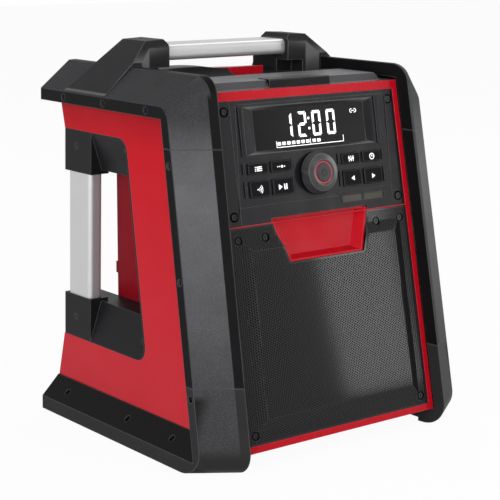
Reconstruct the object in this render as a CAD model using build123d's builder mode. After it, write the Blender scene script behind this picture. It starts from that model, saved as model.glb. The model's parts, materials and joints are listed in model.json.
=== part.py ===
"""Jobsite radio: a leaning front with speaker grille and control panel, a rubber
cage of six bumpers round a red housing, aluminium grab bars and a carry handle,
a lidded device compartment and a battery dock.

Millimetres. +Z up, the front faces -Y, the floor is z = 0 and x = 0 is the plane
of symmetry. Left is -X. Most left pieces are modelled, then mirrored.
"""

import os
from math import cos, radians, sin, tan

from build123d import *

os.makedirs("parts", exist_ok=True)

# ------------------------------------------------------------------ driving sizes
LEAN = 10.45  # the front face leans back by this many degrees
FRONT_FOOT_Y = -143.3  # where the front face would meet the floor
REAR_Y = 154.0  # rear end of the cage
FOOT_HALF = 165.0  # half width at the floor
RAIL_Z = 338.7  # top of the side rim
SIDE_TAPER = 0.0195  # the cage narrows by this much per millimetre of height
GAP = 0.3  # clearance between pieces that don't bear on each other
SLIP = 0.05  # radial clearance of a pin that turns in a bore

# cage section: rim, textured chamfer, nose and inner wall
RIM_DEPTH = 11.4  # depth of the side rim on the leg
RIM_RAIL = 11.7  # height of the side rim on the rail
RIM_FOOT = 13.5  # height of the side rim on the foot
CHAMFER_IN = 31.3  # the chamfer runs inwards by this
CHAMFER_OUT = 21.8  # and forwards by this on the leg
CHAMFER_UP = 27.0  # and upwards by this on the rail
NOSE_IN = 7.8
NOSE_OUT = 5.6
NOSE_UP = 0.4
NOSE_WALL = 14.7  # the nose stands this far in front of the front face
CORNER_R = 20.0  # rounding where the rail turns into the leg
TOE_R = 24.0  # rounding under the toe
RIDGE_SHIFT = 2.8  # the rail's ridge lies further in than the leg's
FOOT_SLOPE = 20.5  # the upper face of the foot runs in and up by this
FOOT_W = 35.0  # width of each foot's sole
LEG_SEAM_LOW = 84.5  # seam between foot and leg bumper
LEG_SEAM_HIGH = 300.7  # seam between leg bumper and top cap
SEAM = 0.4  # width of those seams

# body
BODY_Z = 18.2  # underside of the body
SKIN_IN = 21.0  # the side panels lie this far inside the foot
SKIN_T = 3.0
SKIN_LEAN = 0.6  # how far the side panel leans in at its rear end
WALL = 3.0  # wall of the housings
GRAB_DEEP = 41.0  # the narrow middle of the body lies this far inside them
CORE_Y = 100.0  # rear wall of that middle
WAIST_DOWN = 39.7  # top of the side openings' recesses, below the rim's top
WAIST_LOW = 82.0  # underside of those recesses
DECK_UP = 11.3  # top of the deck, above the rim's top
OPENING_Y = -24.0  # front edge of the side opening, at the floor
OPENING_LEAN = 0.148
SHOULDER_Y = 132.6  # rear of the upper part at its lower edge
SHOULDER_TOP_Y = 139.5
HIP_Y = 141.2  # rear of the lower part at its upper edge
HIP_LOW_Y = 153.7
HIP_LOW_Z = 35.0

# front bezel and what it frames, measured along the leaning face
BEZEL_TOP = 356.0
BEZEL_LOW = 18.5
BEZEL_TOP_BAND = 8.6
BEZEL_LOW_BAND = 6.6
BEZEL_SIDE_BAND = 6.0
BEZEL_GAP = 1.2  # between the bezel and the cage's inner wall
FRONT_DEPTH = 24.0  # depth of the front housing
PANEL_LOW = 229.6  # seam between control panel and grille
PANEL_STEP = 234.6  # the same over the dish
PLATE_T = 3.0
LEDGE_T = 3.0  # ledge that the panel and the grille rest on
LEDGE_IN = 5.0
CHEEK_T = 4.0  # wall of the front housing
CHEEK_Z = 200.0  # the back of the leg meets the side panel at this height

# dish in the middle of the front
DISH_TOP_HALF = 60.8
DISH_LOW_HALF = 46.5
DISH_LOW = 191.0
DISH_DEPTH = 8.0
DISH_FLOOR_TOP_HALF = 51.0
DISH_FLOOR_LOW_HALF = 37.4
DISH_FLOOR_LOW = 198.5
DISH_RIM = 1.8

MEMBER_BAND = 9.0  # the cross member reaches below the seam by this
MEMBER_DEPTH = 8.0
RED_LINE = 0.9  # the member shows between grille and panel as a line this wide
DISH_STAND_LOW = 3.0  # how far the dish's rim stands out
DISH_STAND_TOP = -1.0
DISH_WALL = 2.0

# grille
GRILLE_STAND = 4.5  # the middle stands out by this
GRILLE_MARGIN = 12.0
GRILLE_SLOPE = 11.0
GRILLE_T = 1.2

# liners and shell details
OPENING_R = 15.0  # corners of the side opening
STRIP_T = 2.5
LIP_T = 4.0  # lip of the bezel in front of the lid
CLIP_W = 4.0  # small lug on the rear edge of the middle
CLIP_LOW = 148.0
CLIP_H = 12.0
VENT_HALF = 66.0
VENT_LOW = 130.0
VENT_TOP = 246.0
VENT_COUNT = 10
VENT_MARGIN = 13.0  # plain border round the slots
VENT_LAP = 6.0  # the vent panel laps over the hole behind it
INLET_X = 40.0
INLET_W = 26.0
INLET_H = 18.0
INLET_DEPTH = 16.0
INLET_SHARE = 0.5  # place of the inlet down the sloping rear
LINER_HEAD_R = 3.0
LINER_HEAD_H = 1.6
LINER_SHANK_R = 1.4
LINER_SHANK = 9.0

# bars and handle: one aluminium extrusion
BAR_W = 41.0
BAR_T = 16.0
BAR_R = 5.0
BAR_WALL = 2.2
SIDE_BAR_Y = 108.0  # at the middle of the upper socket
SIDE_BAR_LEAN = 0.035  # the side bars stand further back at their lower end
SIDE_BAR_IN = 26.0  # its lower end stands this far up in the recess
SIDE_BAR_UNDER = 23.0  # and its upper end this far below the recess's top
SIDE_BAR_INSET = 1.2  # the bar's outer face lies this far inside the sockets'
SOCKET_WALL = 4.0
SOCKET_LOW_H = 45.0  # height of the sockets round the bars' ends
SOCKET_HIGH_H = 43.0
SHELF_UP = 42.0  # inner ends of the surround's sloping plates
SHELF_DOWN = 39.0
PLATE_IN = 13.0  # the surround's plates slope in by this
HANDLE_Y = 69.5
HANDLE_DOWN = 13.8  # middle of the handle bar below the brackets' top
HANDLE_END_IN = 69.0  # ends of the handle bar inside the foot's outer edge
BRACKET_IN = 89.0  # inner faces of the brackets inside it
BRACKET_H = 41.0  # height of the brackets above the deck
BRACKET_FRONT = 36.5
BRACKET_REAR = 86.5
BRACKET_LEAN = 0.53  # its front leans back by this share of its height
BRACKET_BROW = 47.6  # front edge of its top
BRACKET_TAIL = 0.48  # its rear runs back by this share of the way down
BRACKET_BEVEL_W = 4.5  # bevel along the inner edge of its top
BRACKET_BEVEL_H = 5.0
BRACKET_BOX = 24.5  # width of the box round the end of the handle bar
BRACKET_STEP = 5.8  # that box stands in front of the bar by this
BRACKET_WEB = 1.9  # the web beside the box runs outwards by this share of its way forwards
BRACKET_UNDER = 13.3  # height of the space under the box
BRACKET_UNDER_DEPTH = 19.0
BRACKET_RIB = 4.0  # rib that is left beside that space
BRACKET_RUN = 56.0  # the bracket's outer face runs inwards by this

# lid over the device compartment
LID_HALF = 107.0
LID_REAR = -9.5
LID_TOP = 357.0
LID_T = 3.0
LID_RIM = 14.0  # thick border at the lid's sides
LID_FOOT_Y = -68.0  # foot and brow of the slope at the front of the lid
LID_BROW_Y = -63.0
LATCH_HALF = 38.0
LATCH_REAR = -50.0
LATCH_PIN_Y = -52.0
LATCH_PIN_Z = 356.0
LATCH_PIN_R = 1.0
LATCH_SWING = 0.6  # room behind the latch's rear edge
LATCH_PROUD = 0.8
LATCH_LEAN = 0.8  # its front leans back by this
LATCH_EDGE = 1.0  # chamfer along its top
LATCH_FOOT = 12.0  # length of its underside
LATCH_PIN_LEN = 4.0
HINGE_Y = -5.3
HINGE_Z = 351.5
HINGE_HALF = 56.0
HINGE_PIN_R = 2.0
EAR_R = 3.6
EAR_W = 8.0

# device compartment
TRAY_HALF = 84.0
TRAY_FRONT = -48.0
TRAY_REAR = -18.0
TRAY_FLOOR = 318.0
TRAY_WALL = 2.0
SOCKETS_W = 24.0  # block with the device sockets
SOCKETS_T = 6.0
SOCKETS_H = 16.0
USB_W = 13.0
USB_H = 5.5
JACK_R = 1.8
RIM_DOWN = 2.0  # depth of the rebate that carries the tray's flange

# battery and dock
PACK_HALF = 35.0
PACK_X = -38.0
PACK_FRONT = 26.0
PACK_LEN = 104.0
PACK_TOP = 361.0
PACK_LOW = 316.0
PACK_BROW_Y = 52.0
PACK_CROWN = 4.0  # rise of its curved top
PACK_FALL = 0.064  # its top falls by this share of the way back
DOCK_WALL = 2.5
DOCK_HIGH = 358.0  # the dock's wall beside the cover
DOCK_HIGH_L = 50.0
TAB_Y = 116.0
TAB_L = 20.0
TAB_H = 3.6
TAB_T = 5.0
TAB_DEPTH = 7.0
TAB_INSET = 0.3
COVER_LEFT = 2.0
COVER_RIGHT = 48.0
COVER_FRONT = 50.0
COVER_TOP = 359.0
COVER_FALL = 0.09  # its top falls by this share of the way back

# knob and buttons
KNOB_V = 272.0
KNOB_R = 21.0
KNOB_STAND = 2.0
KNOB_SKIRT = 0.8  # rounding of its foot
KNOB_BROW_R = 18.0  # its flank leans in to here
KNOB_BROW = 10.4
KNOB_TOP = 12.0
KNOB_FACE_R = 12.6
HUB_R = 12.6
HUB_DOWN = 7.6
FLUTES = 3  # shallow thumb rests in the flank
FLUTE_R = 20.0
FLUTE_DEEP = 0.8
POWER_R = 9.2
POWER_TRAVEL = 1.0
RING_R = 10.5
ENCODER_W = 34.0
ROW_HIGH_V = 282.6
ROW_LOW_V = 263.3
KEY_X = (-71.8, -44.3, 44.3, 71.8)
KEY_W = 23.4
KEY_HIGH_H = 10.4
KEY_LOW_H = 15.6
KEY_PROUD = 2.2
KEY_TRAVEL = 1.2
KEY_BACK = 4.8
PAD_T = 1.7
FRAME_OUT = 115.0
MARGIN_U = 96.5
MARGIN_DOWN = 0.5
DISPLAY_HALF = 81.0
DISPLAY_LOW = 295.5
DISPLAY_TOP = 340.7
DISPLAY_DEPTH = 1.7
WINDOW_HALF = 69.3
WINDOW_LOW = 298.7
WINDOW_TOP = 336.6
MODULE_HALF = 76.0
LENS_U = (43.0, 70.6)
LENS_V = 243.3
LENS_W = 24.4
LENS_H = 6.7
BOARD_STAND = 8.0
BOARD_T = 1.6
BOARD_HALF = 92.0

# speakers
WOOFER_U = 52.0
WOOFER_V = 95.0
WOOFER_R = 47.0
WOOFER_RIM = 4.0
WOOFER_FLANGE = 2.0
WOOFER_DEPTH = 28.0
MAGNET_R = 30.0
MAGNET_H = 12.0
VOICE_R = 12.0
CONE_DEPTH = 14.0
BAFFLE_HALF = 112.0
BAFFLE_LOW = 22.5
BAFFLE_TOP = 186.0
BAFFLE_T = 6.0

# electronics
BOARD_LEFT = 40.0
BOARD_W = 75.0
BOARD_FRONT = 20.0
BOARD_D = 100.0
BOARD_FOOT = 4.0
SUPPLY_LEFT = -90.0
SUPPLY_W = 100.0
SUPPLY_D = 90.0
SUPPLY_H = 40.0
SUPPLY_EDGE = 3.0
SINK_IN = 20.0  # the heat sink lies this far in from the board's ends
SINK_EDGE = 10.0  # and this far in from its side
SINK_FOOT = 3.0
SINK_FINS = 9
FIN_STEP = 6.0
FIN_T = 2.0
FIN_H = 16.0

# screws
GRILLE_SCREW_U = 102.6
GRILLE_SCREW_V = 217.8
DIMPLE_U = 70.6
GRILLE_LOW_SCREW_U = 107.0
GRILLE_LOW_SCREW_V = 34.6
PANEL_SCREW_U = 103.0
PANEL_SCREW_V = 337.5
PANEL_LOW_SCREW_U = 104.0
PANEL_LOW_SCREW_V = 239.8
FACE_BOSS_R = 6.0
FACE_HEAD_R = 3.2
FACE_HEAD_H = 1.8
PANEL_HEAD_H = 1.4
FACE_SHANK_R = 1.4
FACE_SHANK = 3.0
RAIL_SCREW_Y = (-34.0, 39.0, 111.0)
LEG_SCREW_Z = (73.8, 180.1, 285.4)
FOOT_SCREW_Y = (-69.0, 7.0, 119.0)
CAGE_HEAD_R = 3.0
CAGE_HEAD_H = 2.4
CAGE_SHANK_R = 1.6
CAGE_SHANK = 13.0
CAGE_SCREW_SINK = 2.5
SOCKET_SHARE = 0.5  # the socket in a screw's head, as a share of the head


# ------------------------------------------------------------------ sizes that follow
SKIN_HALF = FOOT_HALF - SKIN_IN
CORE_HALF = SKIN_HALF - GRAB_DEEP
WAIST_TOP = RAIL_Z - WAIST_DOWN
DECK_Z = RAIL_Z + DECK_UP
SOCKET_LOW_TOP = WAIST_LOW + SOCKET_LOW_H
SOCKET_HIGH_LOW = WAIST_TOP - SOCKET_HIGH_H
SHELF_LOW = WAIST_LOW + SHELF_UP
SHELF_HIGH = WAIST_TOP - SHELF_DOWN
SIDE_BAR_LOW = WAIST_LOW + SIDE_BAR_IN
SIDE_BAR_HIGH = WAIST_TOP - SIDE_BAR_UNDER
BRACKET_TOP = DECK_Z + BRACKET_H
BRACKET_INNER = FOOT_HALF - BRACKET_IN
HANDLE_Z = BRACKET_TOP - HANDLE_DOWN
HANDLE_HALF = FOOT_HALF - HANDLE_END_IN


# ------------------------------------------------------------------ shared planes
LEAN_SLOPE = tan(radians(LEAN))
CAGE_RUN = Vector(SIDE_TAPER, LEAN_SLOPE, 1)  # direction of the left leg's edges
NOSE_FOOT = Vector(-FOOT_HALF + CHAMFER_IN + NOSE_IN, FRONT_FOOT_Y - NOSE_WALL, 0)
RIDGE_FOOT = NOSE_FOOT + Vector(-NOSE_IN, NOSE_OUT, 0)
RIM_FRONT_FOOT = RIDGE_FOOT + Vector(-CHAMFER_IN, CHAMFER_OUT, 0)
RIM_BACK_FOOT = RIM_FRONT_FOOT + Vector(0, RIM_DEPTH, 0)
WALL_FOOT = NOSE_FOOT + Vector(1.6, NOSE_WALL, 0)
RAIL_HALF = FOOT_HALF - SIDE_TAPER * RAIL_Z
RIDGE_RAIL = Vector(-RAIL_HALF + CHAMFER_IN + RIDGE_SHIFT, 0, RAIL_Z + CHAMFER_UP)
NOSE_RAIL = RIDGE_RAIL + Vector(NOSE_IN, 0, NOSE_UP)
WALL_RAIL_Z = DECK_Z + 2.9
LEAN_NORMAL = Vector(0, -cos(radians(LEAN)), sin(radians(LEAN)))


def front_plane(stand=0.0):
    """The leaning front face, moved out by `stand`."""
    origin = Vector(0, FRONT_FOOT_Y, 0) + LEAN_NORMAL * stand
    return Plane(origin=origin, x_dir=(1, 0, 0), z_dir=LEAN_NORMAL)


def front_y(z):
    """Depth of the front face at a height."""
    return FRONT_FOOT_Y + LEAN_SLOPE * z


def wall_half(z):
    """Half width between the cage's inner walls at a height."""
    return -(WALL_FOOT.X + SIDE_TAPER * z)


def cut_plane(first, second, third, inside):
    """Plane through three points whose normal points away from `inside`."""
    normal = (second - first).cross(third - first)
    if normal.dot(inside - first) > 0:
        normal = -normal
    return Plane(origin=first, z_dir=normal)


def trim(plane):
    """Cut away what lies beyond a plane."""
    split(bisect_by=plane, keep=Keep.BOTTOM)


def finish(part, name):
    """Label a piece and write it."""
    part.label = name
    export_step(part, f"parts/{name}.step")


def finish_pair(part, name):
    """Write a left piece and its mirror image on the right."""
    finish(part, f"left_{name}")
    finish(mirror(part, about=Plane.YZ), f"right_{name}")


# ------------------------------------------------------------------ cage
INSIDE = Vector(-SKIN_HALF + WALL, 0, (BODY_Z + RAIL_Z) / 2)
ALONG = Vector(0, 1, 0)


def cage_outside():
    """Trim a block to the outer faces of the left cage."""
    rim_low = Vector(-FOOT_HALF, 0, 0)
    rim_high = Vector(-RAIL_HALF, 0, RAIL_Z)
    trim(cut_plane(rim_low, rim_high, rim_low + ALONG, INSIDE))
    trim(cut_plane(rim_high, RIDGE_RAIL, rim_high + ALONG, INSIDE))
    trim(cut_plane(RIDGE_RAIL, NOSE_RAIL, RIDGE_RAIL + ALONG, INSIDE))
    trim(cut_plane(RIM_FRONT_FOOT, RIDGE_FOOT, RIM_FRONT_FOOT + CAGE_RUN, INSIDE))
    trim(cut_plane(NOSE_FOOT, NOSE_FOOT + Vector(-NOSE_IN, 0, 0), NOSE_FOOT + CAGE_RUN, INSIDE))


def near_line(edge, first, second, reach=3.0):
    """Whether an edge's middle lies close to the line between two points."""
    run = second - first
    offset = edge.center() - first
    along = offset.dot(run) / run.length**2
    return -0.2 < along < 1.2 and (offset - run * along).length < reach


def eave_plane(clear):
    """Underside of the cage over the deck's shoulder, moved in by a clearance."""
    eave = Vector(-SKIN_HALF - GAP + clear, 0, RAIL_Z - RIM_RAIL)
    gutter = Vector(NOSE_RAIL.X + clear, 0, WALL_RAIL_Z)
    return cut_plane(eave, gutter, eave + ALONG, INSIDE)


def cheek_plane(clear):
    """Back of the leg over the front housing's cheek, moved in by a clearance."""
    shift = Vector(clear, 0, 0)
    waist = Vector(-SKIN_HALF - GAP, RIM_BACK_FOOT.Y + LEAN_SLOPE * CHEEK_Z, CHEEK_Z)
    return cut_plane(WALL_FOOT + shift, waist + shift, WALL_FOOT + shift + CAGE_RUN, INSIDE)


with BuildPart() as body_space:  # what the body fills inside the left cage
    with BuildSketch(Plane.XY.offset(BODY_Z)):
        with Locations((-SKIN_HALF - GAP, 0)):
            Rectangle(80, 500, align=(Align.MIN, Align.CENTER))
    extrude(amount=WALL_RAIL_Z - BODY_Z)
    trim(cheek_plane(0))
    trim(eave_plane(0))

with BuildPart() as side_pocket:  # the recess round the side panel
    with BuildSketch(Plane.XY):
        with Locations((-SKIN_HALF, 0)):
            Rectangle(60, 500, align=(Align.MAX, Align.CENTER))
    extrude(amount=RAIL_Z - RIM_RAIL)
    across = Vector(1, 0, 0)
    trim(cut_plane(RIM_BACK_FOOT, RIM_BACK_FOOT + CAGE_RUN, RIM_BACK_FOOT + across, INSIDE))
    foot_rim = Vector(-FOOT_HALF, 0, RIM_FOOT)
    foot_top = foot_rim + Vector(FOOT_SLOPE, 0, FOOT_SLOPE)
    trim(cut_plane(foot_rim, foot_top, foot_rim + ALONG, Vector(-FOOT_HALF, 0, RAIL_Z)))

with BuildPart() as left_cage:
    with BuildSketch(Plane.YZ.offset(-FOOT_HALF - 5)):
        Rectangle(500, 400, align=(Align.CENTER, Align.MIN))
    extrude(amount=FOOT_HALF + 5 - CORE_HALF)
    trim(Plane(origin=(0, REAR_Y, 0), z_dir=(0, 1, 0)))
    cage_outside()
    mitre_rim = Vector(-RAIL_HALF, RIM_FRONT_FOOT.Y + LEAN_SLOPE * RAIL_Z, RAIL_Z)
    mitre_ridge = Vector(RIDGE_RAIL.X, RIDGE_FOOT.Y + LEAN_SLOPE * RIDGE_RAIL.Z, RIDGE_RAIL.Z)
    mitre_nose = Vector(-CORE_HALF, NOSE_FOOT.Y + LEAN_SLOPE * NOSE_RAIL.Z, NOSE_RAIL.Z)
    trim(Plane(origin=(NOSE_RAIL.X, 0, 0), z_dir=(1, 0, 0)))
    bends = [e for e in left_cage.edges() if near_line(e, mitre_rim, mitre_ridge)]
    bends += [e for e in left_cage.edges() if near_line(e, mitre_ridge, mitre_nose)]
    fillet(bends, CORNER_R)
    toes = [e for e in left_cage.edges() if near_line(e, RIM_FRONT_FOOT, RIDGE_FOOT)]
    toes += [e for e in left_cage.edges() if near_line(e, RIDGE_FOOT, NOSE_FOOT)]
    fillet(toes, TOE_R)
    trim(cut_plane(NOSE_FOOT, WALL_FOOT, NOSE_FOOT + CAGE_RUN, INSIDE))
    add(body_space.part, mode=Mode.SUBTRACT)
    add(side_pocket.part, mode=Mode.SUBTRACT)
    with BuildSketch(Plane.XY):
        with Locations((-FOOT_HALF + FOOT_W, FRONT_FOOT_Y + TOE_R)):
            Rectangle(60, 500, align=(Align.MIN, Align.MIN))
    extrude(amount=BODY_Z, mode=Mode.SUBTRACT)


# screws through the bumpers: a plane at each, its normal out of the hole
def leg_screw_plane(z):
    """Place of a screw in the rim of the leg."""
    rim = (RIM_FRONT_FOOT + RIM_BACK_FOOT) * 0.5 + CAGE_RUN * z
    return Plane(origin=rim, x_dir=(0, 0, 1), z_dir=(-1, 0, 0))


def rail_screw_plane(y):
    """Place of a screw in the rim of the rail."""
    z = RAIL_Z - RIM_RAIL / 2
    return Plane(origin=(-FOOT_HALF + SIDE_TAPER * z, y, z), x_dir=(0, 0, 1), z_dir=(-1, 0, 0))


def foot_screw_plane(y):
    """Place of a screw in the sloping face of the foot."""
    half_way = FOOT_SLOPE / 2
    origin = (-FOOT_HALF + half_way, y, RIM_FOOT + half_way)
    return Plane(origin=origin, x_dir=(0, 1, 0), z_dir=(-1, 0, 1))


CAGE_SCREWS = (
    [rail_screw_plane(y) for y in RAIL_SCREW_Y]
    + [leg_screw_plane(z) for z in LEG_SCREW_Z]
    + [foot_screw_plane(y) for y in FOOT_SCREW_Y]
)


def disc(plane, radius, height, mode=Mode.ADD):
    """Round column, or hole, that starts at a plane."""
    with BuildSketch(plane) as face:
        Circle(radius)
    extrude(face.sketch, amount=height, mode=mode)


def screw_bodies(planes, head_r, head_h, shank_r, length, sink):
    """Screws with a hexagon socket, their heads sunk by `sink` below the planes."""
    for plane in planes:
        disc(plane.offset(-sink - head_h), head_r, head_h)
        disc(plane.offset(-sink - head_h), shank_r, -length)
        with BuildSketch(plane.offset(-sink)) as socket:
            RegularPolygon(head_r * SOCKET_SHARE, 6)
        extrude(socket.sketch, amount=-head_h * SOCKET_SHARE, mode=Mode.SUBTRACT)


def screw_holes(planes, head_r, shank_r, sink, reach):
    """Holes with a counterbore for sunk screws."""
    with Locations(*planes):
        CounterBoreHole(shank_r + GAP, head_r + GAP, sink, reach)


def slab(low, high):
    """Keep only what lies between two heights."""
    trim(Plane(origin=(0, 0, high), z_dir=(0, 0, 1)))
    trim(Plane(origin=(0, 0, low), z_dir=(0, 0, -1)))


def block(left, right, front, rear, low, high, mode=Mode.ADD):
    """Upright box between given sides."""
    with BuildSketch(Plane.XY.offset(low)) as plan:
        with Locations(((left + right) / 2, (front + rear) / 2)):
            Rectangle(right - left, rear - front)
    extrude(plan.sketch, amount=high - low, mode=mode)


BUMPERS = (
    ("foot_bumper", 0, LEG_SEAM_LOW - SEAM / 2),
    ("leg_bumper", LEG_SEAM_LOW + SEAM / 2, LEG_SEAM_HIGH - SEAM / 2),
    ("top_cap", LEG_SEAM_HIGH + SEAM / 2, RAIL_Z + 100),
)
CAGE_SINK = CAGE_SCREW_SINK + CAGE_HEAD_H
with BuildPart() as drilled_cage:
    add(left_cage.part)
    screw_holes(CAGE_SCREWS, CAGE_HEAD_R, CAGE_SHANK_R, CAGE_SINK, CAGE_SHANK + CAGE_SINK + 2)
for bumper_name, bumper_low, bumper_high in BUMPERS:
    with BuildPart() as bumper:
        add(drilled_cage.part)
        slab(bumper_low, bumper_high)
    finish_pair(bumper.part, bumper_name)

with BuildPart() as cage_screws:
    screw_bodies(CAGE_SCREWS, CAGE_HEAD_R, CAGE_HEAD_H, CAGE_SHANK_R, CAGE_SHANK, CAGE_SCREW_SINK)
    mirror(about=Plane.YZ)
finish(cage_screws.part, "cage_screws")


# ------------------------------------------------------------------ bars and handle
def bar_outline(grow=0.0, mode=Mode.ADD):
    """Rounded section of the extruded bar."""
    RectangleRounded(BAR_T + 2 * grow, BAR_W + 2 * grow, BAR_R + grow, mode=mode)


def bar_length(plane, length):
    """A length of the hollow bar that stands on a plane."""
    with BuildSketch(plane) as section:
        bar_outline()
        bar_outline(-BAR_WALL, Mode.SUBTRACT)
    extrude(section.sketch, amount=length)


def bar_pocket(plane, length):
    """Room for the end of a bar, with clearance."""
    with BuildSketch(plane) as section:
        bar_outline(GAP)
    extrude(section.sketch, amount=length, mode=Mode.SUBTRACT)


def side_bar_y(z):
    """Depth of the side bar's middle at a height."""
    return SIDE_BAR_Y - SIDE_BAR_LEAN * (z - (SOCKET_HIGH_LOW + WAIST_TOP) / 2)


SIDE_BAR_X = -SKIN_HALF + SIDE_BAR_INSET + BAR_T / 2
SIDE_BAR_END = Vector(SIDE_BAR_X, side_bar_y(SIDE_BAR_LOW), SIDE_BAR_LOW)
SIDE_BAR_PLANE = Plane(origin=SIDE_BAR_END, x_dir=(1, 0, 0), z_dir=(0, -SIDE_BAR_LEAN, 1))
SIDE_BAR_LENGTH = SIDE_BAR_HIGH - SIDE_BAR_LOW
with BuildPart() as side_bar:
    bar_length(SIDE_BAR_PLANE, SIDE_BAR_LENGTH)
finish_pair(side_bar.part, "side_bar")

HANDLE_END = Plane(origin=(-HANDLE_HALF, HANDLE_Y, HANDLE_Z), x_dir=(0, 0, 1), z_dir=(1, 0, 0))
with BuildPart() as handle_bar:
    bar_length(HANDLE_END, 2 * HANDLE_HALF)
finish(handle_bar.part, "handle_bar")

BRACKET_FOOT = Vector(-RAIL_HALF + 0.4, 0, RAIL_Z + 0.5)
BRACKET_RIDGE = Vector(-RAIL_HALF + BRACKET_RUN, 0, BRACKET_TOP - 1.0)
BRACKET_CORE = Vector(0, HANDLE_Y, HANDLE_Z)
BRACKET_REACH = BRACKET_REAR + BRACKET_TAIL * (BRACKET_TOP - BRACKET_FOOT.Z) - BRACKET_FRONT
with BuildPart() as bracket:
    with BuildSketch(Plane.XZ.offset(-BRACKET_FRONT)):
        Polygon(
            (BRACKET_FOOT.X, BRACKET_FOOT.Z),
            (BRACKET_RIDGE.X, BRACKET_RIDGE.Z),
            (-BRACKET_INNER - BRACKET_BEVEL_W, BRACKET_TOP),
            (-BRACKET_INNER, BRACKET_TOP - BRACKET_BEVEL_H),
            (-BRACKET_INNER, DECK_Z),
            (NOSE_RAIL.X + GAP, DECK_Z),
            (NOSE_RAIL.X + GAP, NOSE_RAIL.Z + SEAM),
            (RIDGE_RAIL.X, RIDGE_RAIL.Z + SEAM),
            align=None,
        )
    extrude(amount=-BRACKET_REACH)
    brow = Vector(0, BRACKET_BROW, BRACKET_TOP)
    trim(cut_plane(brow, brow + Vector(0, -BRACKET_LEAN, -1), brow + across, BRACKET_CORE))
    tail = Vector(0, BRACKET_REAR, BRACKET_TOP)
    trim(cut_plane(tail, tail + Vector(0, BRACKET_TAIL, -1), tail + across, BRACKET_CORE))
    box_y = HANDLE_Y - BAR_W / 2 - BRACKET_STEP
    box_x = -BRACKET_INNER - BRACKET_BOX
    with BuildSketch(Plane.XY.offset(DECK_Z)):
        Polygon(
            (-BRACKET_INNER, box_y),
            (box_x, box_y),
            (box_x - BRACKET_WEB * (box_y - BRACKET_FRONT), BRACKET_FRONT),
            (-BRACKET_INNER, BRACKET_FRONT),
            align=None,
        )
    extrude(amount=BRACKET_H, mode=Mode.SUBTRACT)
    under = (box_x + BRACKET_RIB, -BRACKET_INNER, BRACKET_FRONT, box_y + BRACKET_UNDER_DEPTH)
    block(*under, DECK_Z, DECK_Z + BRACKET_UNDER, Mode.SUBTRACT)
    bar_pocket(HANDLE_END.offset(-GAP), HANDLE_HALF)
finish_pair(bracket.part, "handle_bracket")


# ------------------------------------------------------------------ red housings
def opening_y(z):
    """Front edge of the side opening at a height."""
    return OPENING_Y + OPENING_LEAN * z


def back_y(z):
    """Rear face of the front housing at a height."""
    return front_y(z) + FRONT_DEPTH / cos(radians(LEAN))


def bezel_half(v):
    """Half width of the bezel at a distance up the front face."""
    return wall_half(v * cos(radians(LEAN))) - BEZEL_GAP


def frame_half(v):
    """Half width of the bezel's opening."""
    return bezel_half(v) - BEZEL_SIDE_BAND


def front_spot(u, v, stand=0.0):
    """Plane on the front face at a place across it and up it."""
    origin = front_plane(stand).from_local_coords((u, v, 0))
    return Plane(origin=origin, x_dir=(1, 0, 0), z_dir=LEAN_NORMAL)


def front_block(top, depth, low, high, inset, mode=Mode.ADD):
    """Block let in from `top` whose flanks follow the bezel's opening."""
    with BuildSketch(front_plane(top)) as face:
        Polygon(
            (-frame_half(low) + inset, low),
            (frame_half(low) - inset, low),
            (frame_half(high) - inset, high),
            (-frame_half(high) + inset, high),
            align=None,
        )
    extrude(face.sketch, amount=-depth, mode=mode)


def front_box(spots, width, height, top, depth, corner=0.0, mode=Mode.ADD):
    """Boxes let in from `top` at places on the front."""
    for u, v in spots:
        with BuildSketch(front_spot(u, v, top)) as face:
            if corner:
                RectangleRounded(width, height, corner)
            else:
                Rectangle(width, height)
        extrude(face.sketch, amount=-depth, mode=mode)


def front_strip(left, right, low, high, top, depth, mode=Mode.ADD):
    """Box let in from `top` between given sides."""
    middle = ((left + right) / 2, (low + high) / 2)
    front_box([middle], right - left, high - low, top, depth, mode=mode)


def keep_left():
    """Keep the left half."""
    trim(Plane(origin=(0, 0, 0), z_dir=(1, 0, 0)))


BODY_HALF = SKIN_HALF - SKIN_T
SHELL_TOP = RAIL_Z - RIM_RAIL
LEDGE_LOW = -PLATE_T - LEDGE_T  # rear of the ledge behind the panel and the grille
SEAT_Z = DECK_Z - LID_T - GAP  # the lid lies over this level
LIP_Y = front_y(DECK_Z) + LIP_T
FRAME_TOP = BEZEL_TOP - BEZEL_TOP_BAND
FRAME_LOW = BEZEL_LOW + BEZEL_LOW_BAND
FLARE = -60.0  # an inset that leaves the width to the cheek planes
DISH_TOP = PANEL_STEP - DISH_RIM
MEMBER_LOW = PANEL_LOW - MEMBER_BAND
MEMBER_TOP = PANEL_STEP + LEDGE_IN
DISH_START = front_plane(DISH_STAND_LOW).from_local_coords((0, DISH_LOW, 0))
DISH_END = front_plane(DISH_STAND_TOP).from_local_coords((0, DISH_TOP, 0))
DISH_LEN = (DISH_END - DISH_START).length
DISH_NORMAL = Vector(1, 0, 0).cross(DISH_END - DISH_START).normalized()
BAND_SCREWS = [(side * GRILLE_SCREW_U, GRILLE_SCREW_V) for side in (-1, 1)]
DIMPLE_SCREWS = [(side * DIMPLE_U, GRILLE_SCREW_V) for side in (-1, 1)]
FOOT_SCREWS = [(side * GRILLE_LOW_SCREW_U, GRILLE_LOW_SCREW_V) for side in (-1, 1)]
GRILLE_SCREWS = BAND_SCREWS + DIMPLE_SCREWS + FOOT_SCREWS
PANEL_SCREWS = [(side * PANEL_SCREW_U, PANEL_SCREW_V) for side in (-1, 1)]
PANEL_SCREWS += [(side * PANEL_LOW_SCREW_U, PANEL_LOW_SCREW_V) for side in (-1, 1)]
FACE_SCREW_SINK = GAP
FACE_SCREW_SEAT = FACE_SCREW_SINK + FACE_HEAD_H


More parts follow.
